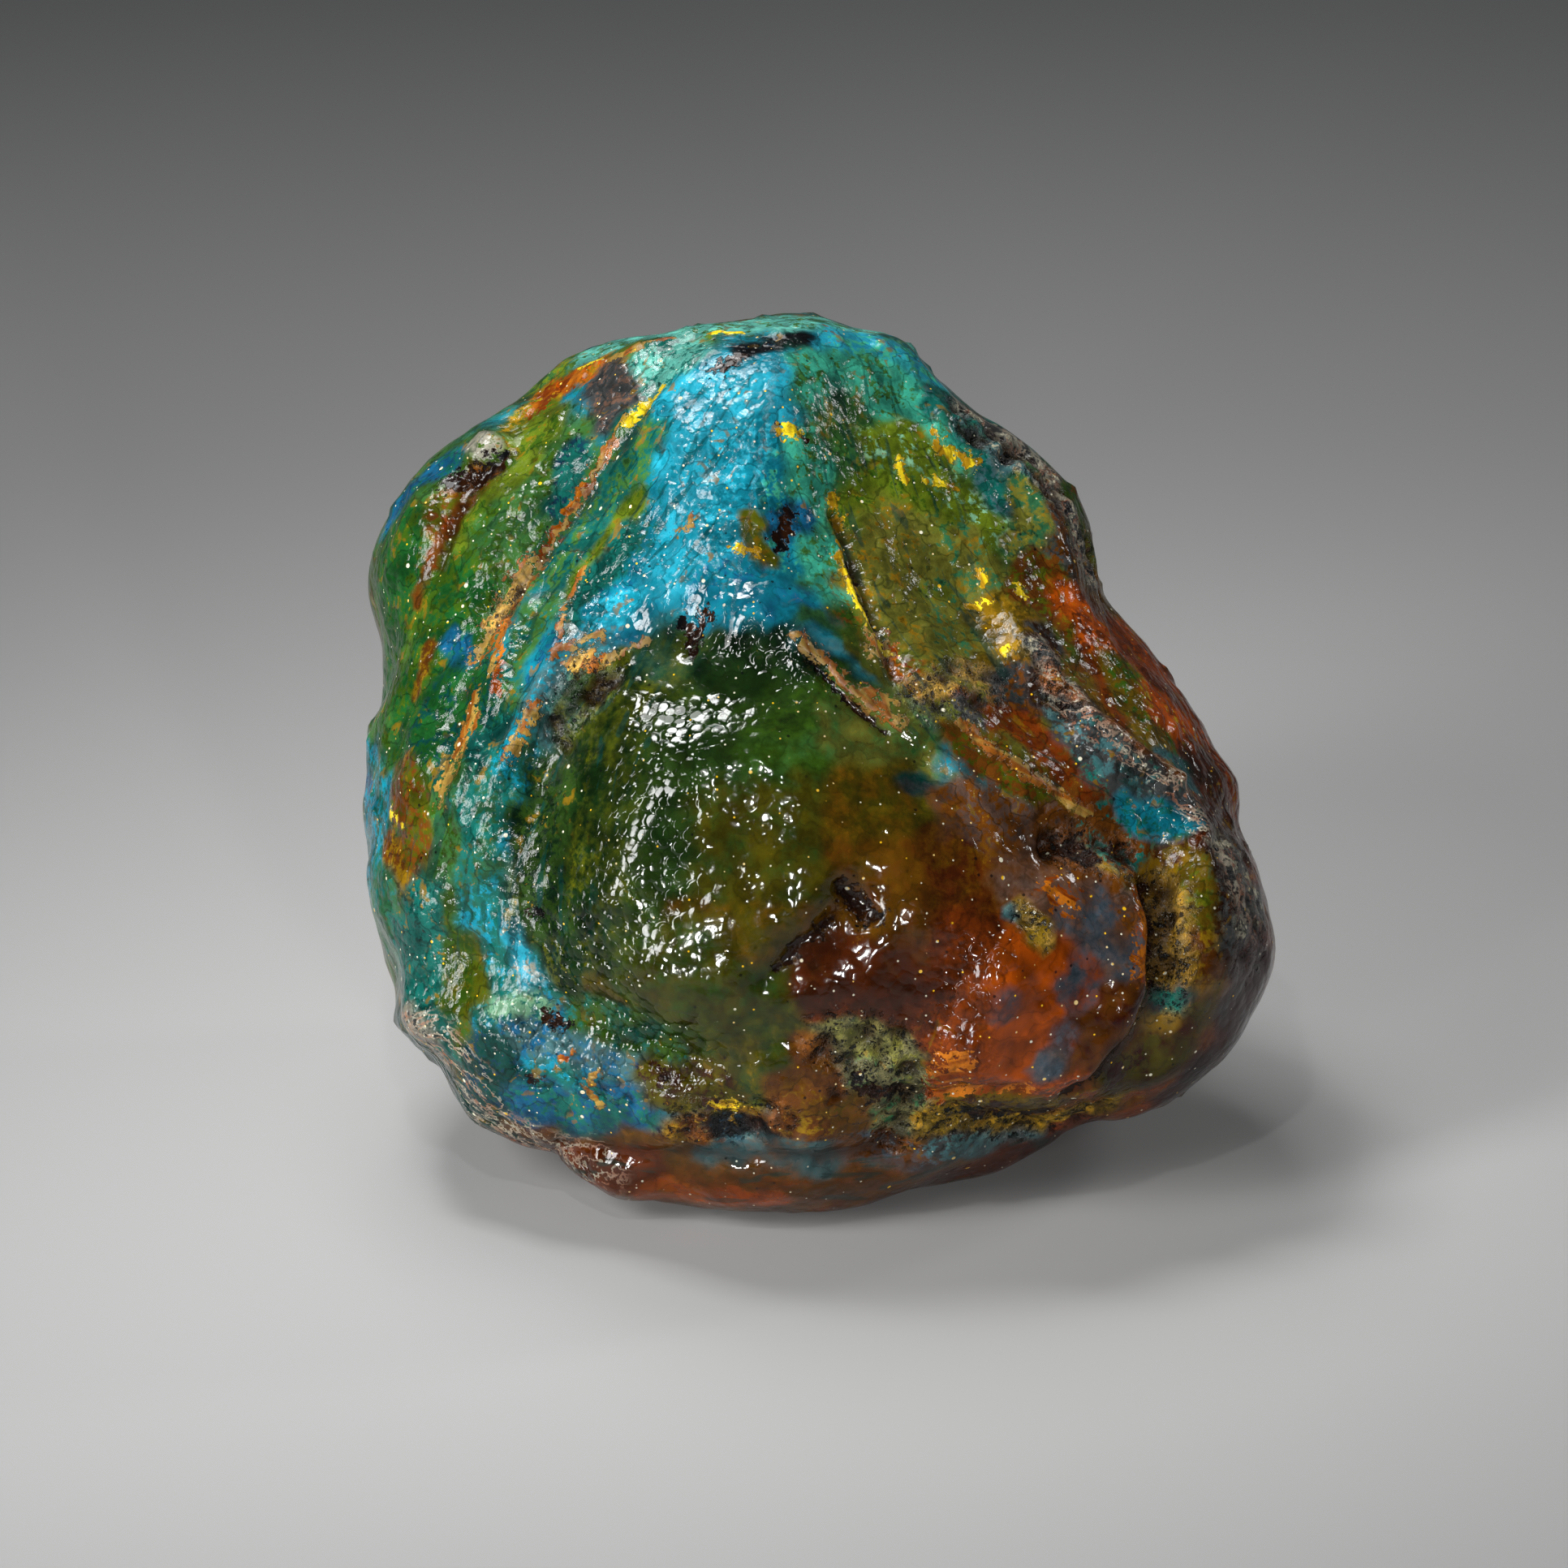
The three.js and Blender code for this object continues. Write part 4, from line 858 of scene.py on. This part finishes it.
def painted(g, f):
    """The two painted colours, with ochre, seams and veins over them."""
    # The second colour shows in blotches that are soft where the resin is glassy.
    softness = g.mad(f.glassy, 0.2, 0.1)
    wobble = g.times(f.fine, g.mad(f.opaque, 0.2, 0.12))
    blotch = g.math("DIVIDE", g.math("ADD", wobble, g.attribute("shows")), softness)
    base = g.mix(g.step(blotch, -1, 1), g.attribute("first", "Color"), g.attribute("second", "Color"))

    # Flecks of ochre, thin lines of ochre film, and dark seams along the streaks.
    flecks = g.step(g.mad(f.cloud, 0.5, f.fine), 0.9, 1.4)
    flecks = g.times(flecks, g.mad(f.opaque, 0.55, 0.15))
    base = g.mix(flecks, base, colour("ochre", 1.3))
    lines = g.step(g.mad(f.fine, 0.05, g.attribute("film")), 0.07, 0.03)
    lines = g.times(lines, g.mad(f.glassy, -0.7, 0.75))
    lines = g.times(lines, g.step(f.cloud, -0.3, 0.4))
    base = g.mix(lines, base, colour("ochre"))
    seams = g.times(g.step(f.streak, 0.42, 0.36), g.times(f.flowing, 0.6))
    base = g.mix(seams, base, colour("deep_teal"))

    # Veins, each kind in two tones that follow the streaks.
    tones = {
        "dark": (colour("black"), colour("dark_brown")),
        "rust": (colour("rust", 1.3), colour("fire", 1.5)),
        "tan": (colour("tan", 1.5), colour("fire", 0.75)),
        "gold": (colour("ochre", 1.8), colour("yellow", 1.8)),
    }
    along = g.step(f.streak, 0.42, 0.58)
    for kind, (tone, other) in tones.items():
        base = g.mix(f.veins[kind], base, g.mix(along, tone, other))
    return base


def weathered_and_painted_light(g, f, base):
    """Cloudy light and dark, dark spots and cracks, painted shade in the hollows and in the crust's
    pores, painted highlights on the crust's raised rims, and silver threads that are partly painted
    glints.
    """
    light = g.step(g.mad(f.fine, 0.45, f.cloud), -1.3, 1.5, 0.35, 1.55)
    grey = g.node("ShaderNodeCombineColor", {0: light, 1: light, 2: light}).outputs[0]
    base = g.mix(1.0, base, grey, "MULTIPLY")
    dusky = g.step(g.math("SUBTRACT", f.fine, f.cloud), 0.9, 1.5)
    cracks = g.step(g.math("ABSOLUTE", g.mad(f.fine, 0.07, f.cloud)), 0.09, 0.02)
    dark = g.math("MAXIMUM", g.times(dusky, 0.8), g.times(cracks, 0.6))
    dark = g.times(dark, g.mad(f.opaque, 0.5, 0.5))
    base = g.mix(dark, base, (0.2, 0.26, 0.24, 1), "MULTIPLY")
    # Painted shade: the paint darkens as the hollows deepen.
    base = g.mix(g.times(f.hollow, 0.85), base, colour("dark_brown", 0.5))

    # Painted shade and highlight on the crust: its pores are painted black, and the raised rims of its
    # cells are painted lighter.
    base = g.mix(g.times(f.hole, 0.9), base, colour("black"))
    painted_lit_rim = g.times(g.step(f.skin["Distance"], 0.45, 0.7), f.crusted)
    base = g.mix(painted_lit_rim, base, (2.2, 2.1, 1.9, 1), "MULTIPLY")
    # Silver threads: partly the crust's own silver, partly painted glints.
    painted_glint_thread = g.mad(f.cloud, 0.3, g.mad(f.streak, 5.0, -2.5))
    painted_glint_thread = g.step(g.math("ABSOLUTE", g.mad(f.fine, 0.7, painted_glint_thread)), 0.3, 0.08)
    painted_glint_thread = g.times(g.times(painted_glint_thread, f.silvery), 0.85)
    metal_and_glint = g.mix(g.step(f.streak, 0.4, 0.6), colour("silver", 1.5), colour("pinkish", 1.1))
    return g.mix(painted_glint_thread, base, metal_and_glint)


def grains_and_painted_glints(g, f, base):
    """Dark specks, and small bright grains of gold and white, partly gold inclusions and partly painted
    glints.
    """
    specks = g.cells(f.place, 0.95)
    pick = g.node("ShaderNodeSeparateColor", {0: specks["Color"]}).outputs
    radius = g.mad(g.math("POWER", pick[2], 3.0), 0.12, 0.04)
    inside = g.step(g.math("DIVIDE", specks["Distance"], radius), 1.2, 0.8)
    grain_and_glint = g.times(inside, g.step(g.mad(f.cloud, 0.2, pick[0]), 0.5, 0.51))
    speck = g.times(g.step(specks["Distance"], 0.13, 0.08), g.step(pick[0], 0.26, 0.24))
    base = g.mix(g.times(speck, 0.8), base, colour("black"))
    dust = g.cells(f.place, 0.55)
    pick = g.node("ShaderNodeSeparateColor", {0: dust["Color"]}).outputs
    dust_and_glint = g.step(g.mad(f.cloud, -0.2, pick[0]), 0.7, 0.71)
    dust_and_glint = g.times(dust_and_glint, g.step(dust["Distance"], 0.15, 0.09))
    # The bright grains are partly gold inclusions and partly painted glints.
    metal_and_glint = g.mix(g.step(pick[1], 0.1, 0.5), colour("gold", 2.2), colour("silver", 2.6))
    return g.mix(g.math("MAXIMUM", grain_and_glint, dust_and_glint), base, metal_and_glint)


def roughness(g, f):
    """Wet all over, and duller on the crust and the tan veins."""
    wet = g.math("MAXIMUM", f.glassy, f.leathery)
    rough = g.mad(wet, -0.05, g.step(f.cloud, -1, 1, 0.11, 0.19))
    dull = g.times(f.crusted, g.step(f.fine, -0.5, 0.6, 0.2, 0.9))
    rough = g.blend(dull, rough, 0.42)
    return g.blend(f.veins["tan"], rough, 0.4)


def fine_relief(g, f):
    """Relief in mm: tilted plates, domes, beads, streaks, the pores of the crust, and the veins."""
    waves = g.noise(f.place, 1.0, 1, 0.35)
    relief = g.times(waves, g.mad(f.leathery, -0.05, 0.1))
    cell = f.skin["Distance"]
    lean = g.vector("SUBTRACT", f.skin["Color"], (0.5, 0.5, 0.5))
    lean = g.vector("DOT_PRODUCT", lean, g.vector("SUBTRACT", f.cells_place, f.skin["Position"]))
    plate = g.mad(lean, 0.12, g.step(cell, 0.52, 0.8, 0.0, -0.07))
    relief = g.mad(plate, f.leathery, relief)
    pebbly = g.times(f.opaque, g.math("SUBTRACT", 1.0, f.leathery))
    pebbly = g.mad(pebbly, -0.06, -0.04)
    pebbly = g.mad(f.beaded, g.step(f.cloud, -0.6, 0.8, -0.4, -0.05), pebbly)
    relief = g.mad(g.times(cell, cell), pebbly, relief)
    relief = g.mad(g.times(f.streak, f.flowing), 0.04, relief)
    relief = g.mad(f.fine, g.mad(f.opaque, 0.01, 0.002), relief)
    raised = ((f.hole, -0.2), (f.veins["tan"], 0.06), (f.veins["gold"], 0.05), (f.veins["dark"], -0.08))
    for mask, rise in raised:
        relief = g.mad(mask, rise, relief)
    return relief


def amber_material():
    material = bpy.data.materials.new("blue_amber")
    g = Graph(material)
    f = shared_fields(g)
    base = grains_and_painted_glints(g, f, weathered_and_painted_light(g, f, painted(g, f)))
    bump = g.node("ShaderNodeBump", {"Strength": 1.0, "Distance": 0.001, "Height": fine_relief(g, f)})
    through = g.times(f.clear, g.math("SUBTRACT", 1.0, f.crusted))
    shader = g.node("ShaderNodeBsdfPrincipled", {
        "Base Color": base,
        "Roughness": roughness(g, f),
        "Normal": bump.outputs[0],
        "IOR": 1.54,
        "Specular IOR Level": 0.22,
        "Transmission Weight": g.times(through, 0.35),
    })
    volume = g.node("ShaderNodeVolumeAbsorption", {"Color": (0.85, 0.5, 0.08, 1), "Density": 180.0})
    g.node("ShaderNodeOutputMaterial", {"Surface": shader.outputs[0], "Volume": volume.outputs[0]})
    return material


def added(name, data):
    """A new object in the scene."""
    thing = bpy.data.objects.new(name, data)
    bpy.context.scene.collection.objects.link(thing)
    return thing


nodule = added("blue_amber_nodule", made_mesh("blue_amber_nodule"))
nodule.data.materials.append(amber_material())
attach(nodule, "root")
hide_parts("amber_nodule")


def on_face(across, up, out):
    """A place in face axes, in metres in the part's frame."""
    return (FACE_ORIGIN + np.array([across, up, out]) @ FACE_AXES) / 1000


def turned_to(spot, target):
    """The rotation that points a camera or light at spot towards target."""
    return (Vector(target) - Vector(spot)).to_track_quat("-Z", "Y").to_euler()


# The floor: a pale square, as wide each way from the nodule as this, in metres.
FLOOR_REACH = 4
floor_mesh = bpy.data.meshes.new("floor")
corners = [(FLOOR_REACH * x, FLOOR_REACH * y, 0) for x, y in ((-1, -1), (1, -1), (1, 1), (-1, 1))]
floor_mesh.from_pydata(corners, [], [(0, 1, 2, 3)])
floor = added("floor", floor_mesh)
paper = bpy.data.materials.new("pale_floor")
g = Graph(paper)
shader = g.node("ShaderNodeBsdfPrincipled", {"Base Color": (0.37, 0.37, 0.366, 1), "Roughness": 0.8})
g.node("ShaderNodeOutputMaterial", {"Surface": shader.outputs[0]})
floor_mesh.materials.append(paper)

# Soft boxes: name, direction from the nodule (the part's axes), distance, width and height (mm),
# brightness, and spread. A narrow box gets less power, so that it looks as bright as a wide one.
NARROW = math.radians(60)
SOFT_BOXES = [
    ("high_key", (-0.34, 0.2, 0.92), 230, (40, 76), 48, NARROW),
    ("key", (-0.67, -0.5, 0.54), 230, (56, 100), 39, NARROW),
    ("low_key", (-0.8, -0.58, 0.15), 230, (54, 76), 39, NARROW),
    ("small_front", (-0.1, -0.6, 0.79), 260, (7, 7), 700, NARROW),
    ("low_front", (0.16, -0.97, 0.16), 280, (16, 40), 220, NARROW),
    ("low_left_front", (-0.45, -0.89, 0.07), 250, (12, 30), 240, NARROW),
    ("right_rim", (0.85, 0.3, 0.45), 220, (20, 50), 38, NARROW),
    ("top_back", (-0.2, 0.45, 0.87), 250, (120, 120), 7, math.pi),
]
centre = on_face(0, 0, 0)
for name, direction, distance, (width, height), brightness, spread in SOFT_BOXES:
    data = bpy.data.lights.new(name, "AREA")
    data.shape = "RECTANGLE"
    data.size, data.size_y = width / 1000, height / 1000
    data.energy = brightness * math.pi * data.size * data.size_y
    if spread < math.pi:
        data.spread = spread
        data.energy *= (math.tan(spread / 2) - spread / 2) * 4 / math.pi
    lamp = added(name, data)
    lamp.location = centre + np.array(direction) / np.linalg.norm(direction) * distance / 1000
    lamp.rotation_euler = turned_to(lamp.location, centre)
    lamp.visible_camera = False

world = bpy.data.worlds.new("studio")
world.use_nodes = True
background = world.node_tree.nodes["Background"]
background.inputs["Color"].default_value = (0.9, 0.95, 1, 1)
background.inputs["Strength"].default_value = 0.06
bpy.context.scene.world = world
bpy.context.scene.view_settings.view_transform = "Standard"

# The camera.
data = bpy.data.cameras.new("camera")
data.sensor_width = SENSOR_WIDTH
data.lens = SENSOR_WIDTH * VIEW_DISTANCE / VIEW_WIDTH
data.clip_start, data.clip_end = 0.01, 20
camera = added("camera", data)
camera.location = on_face(0, 0, VIEW_DISTANCE)
camera.rotation_euler = turned_to(camera.location, on_face(*VIEW_AIM, 0))
bpy.context.scene.camera = camera
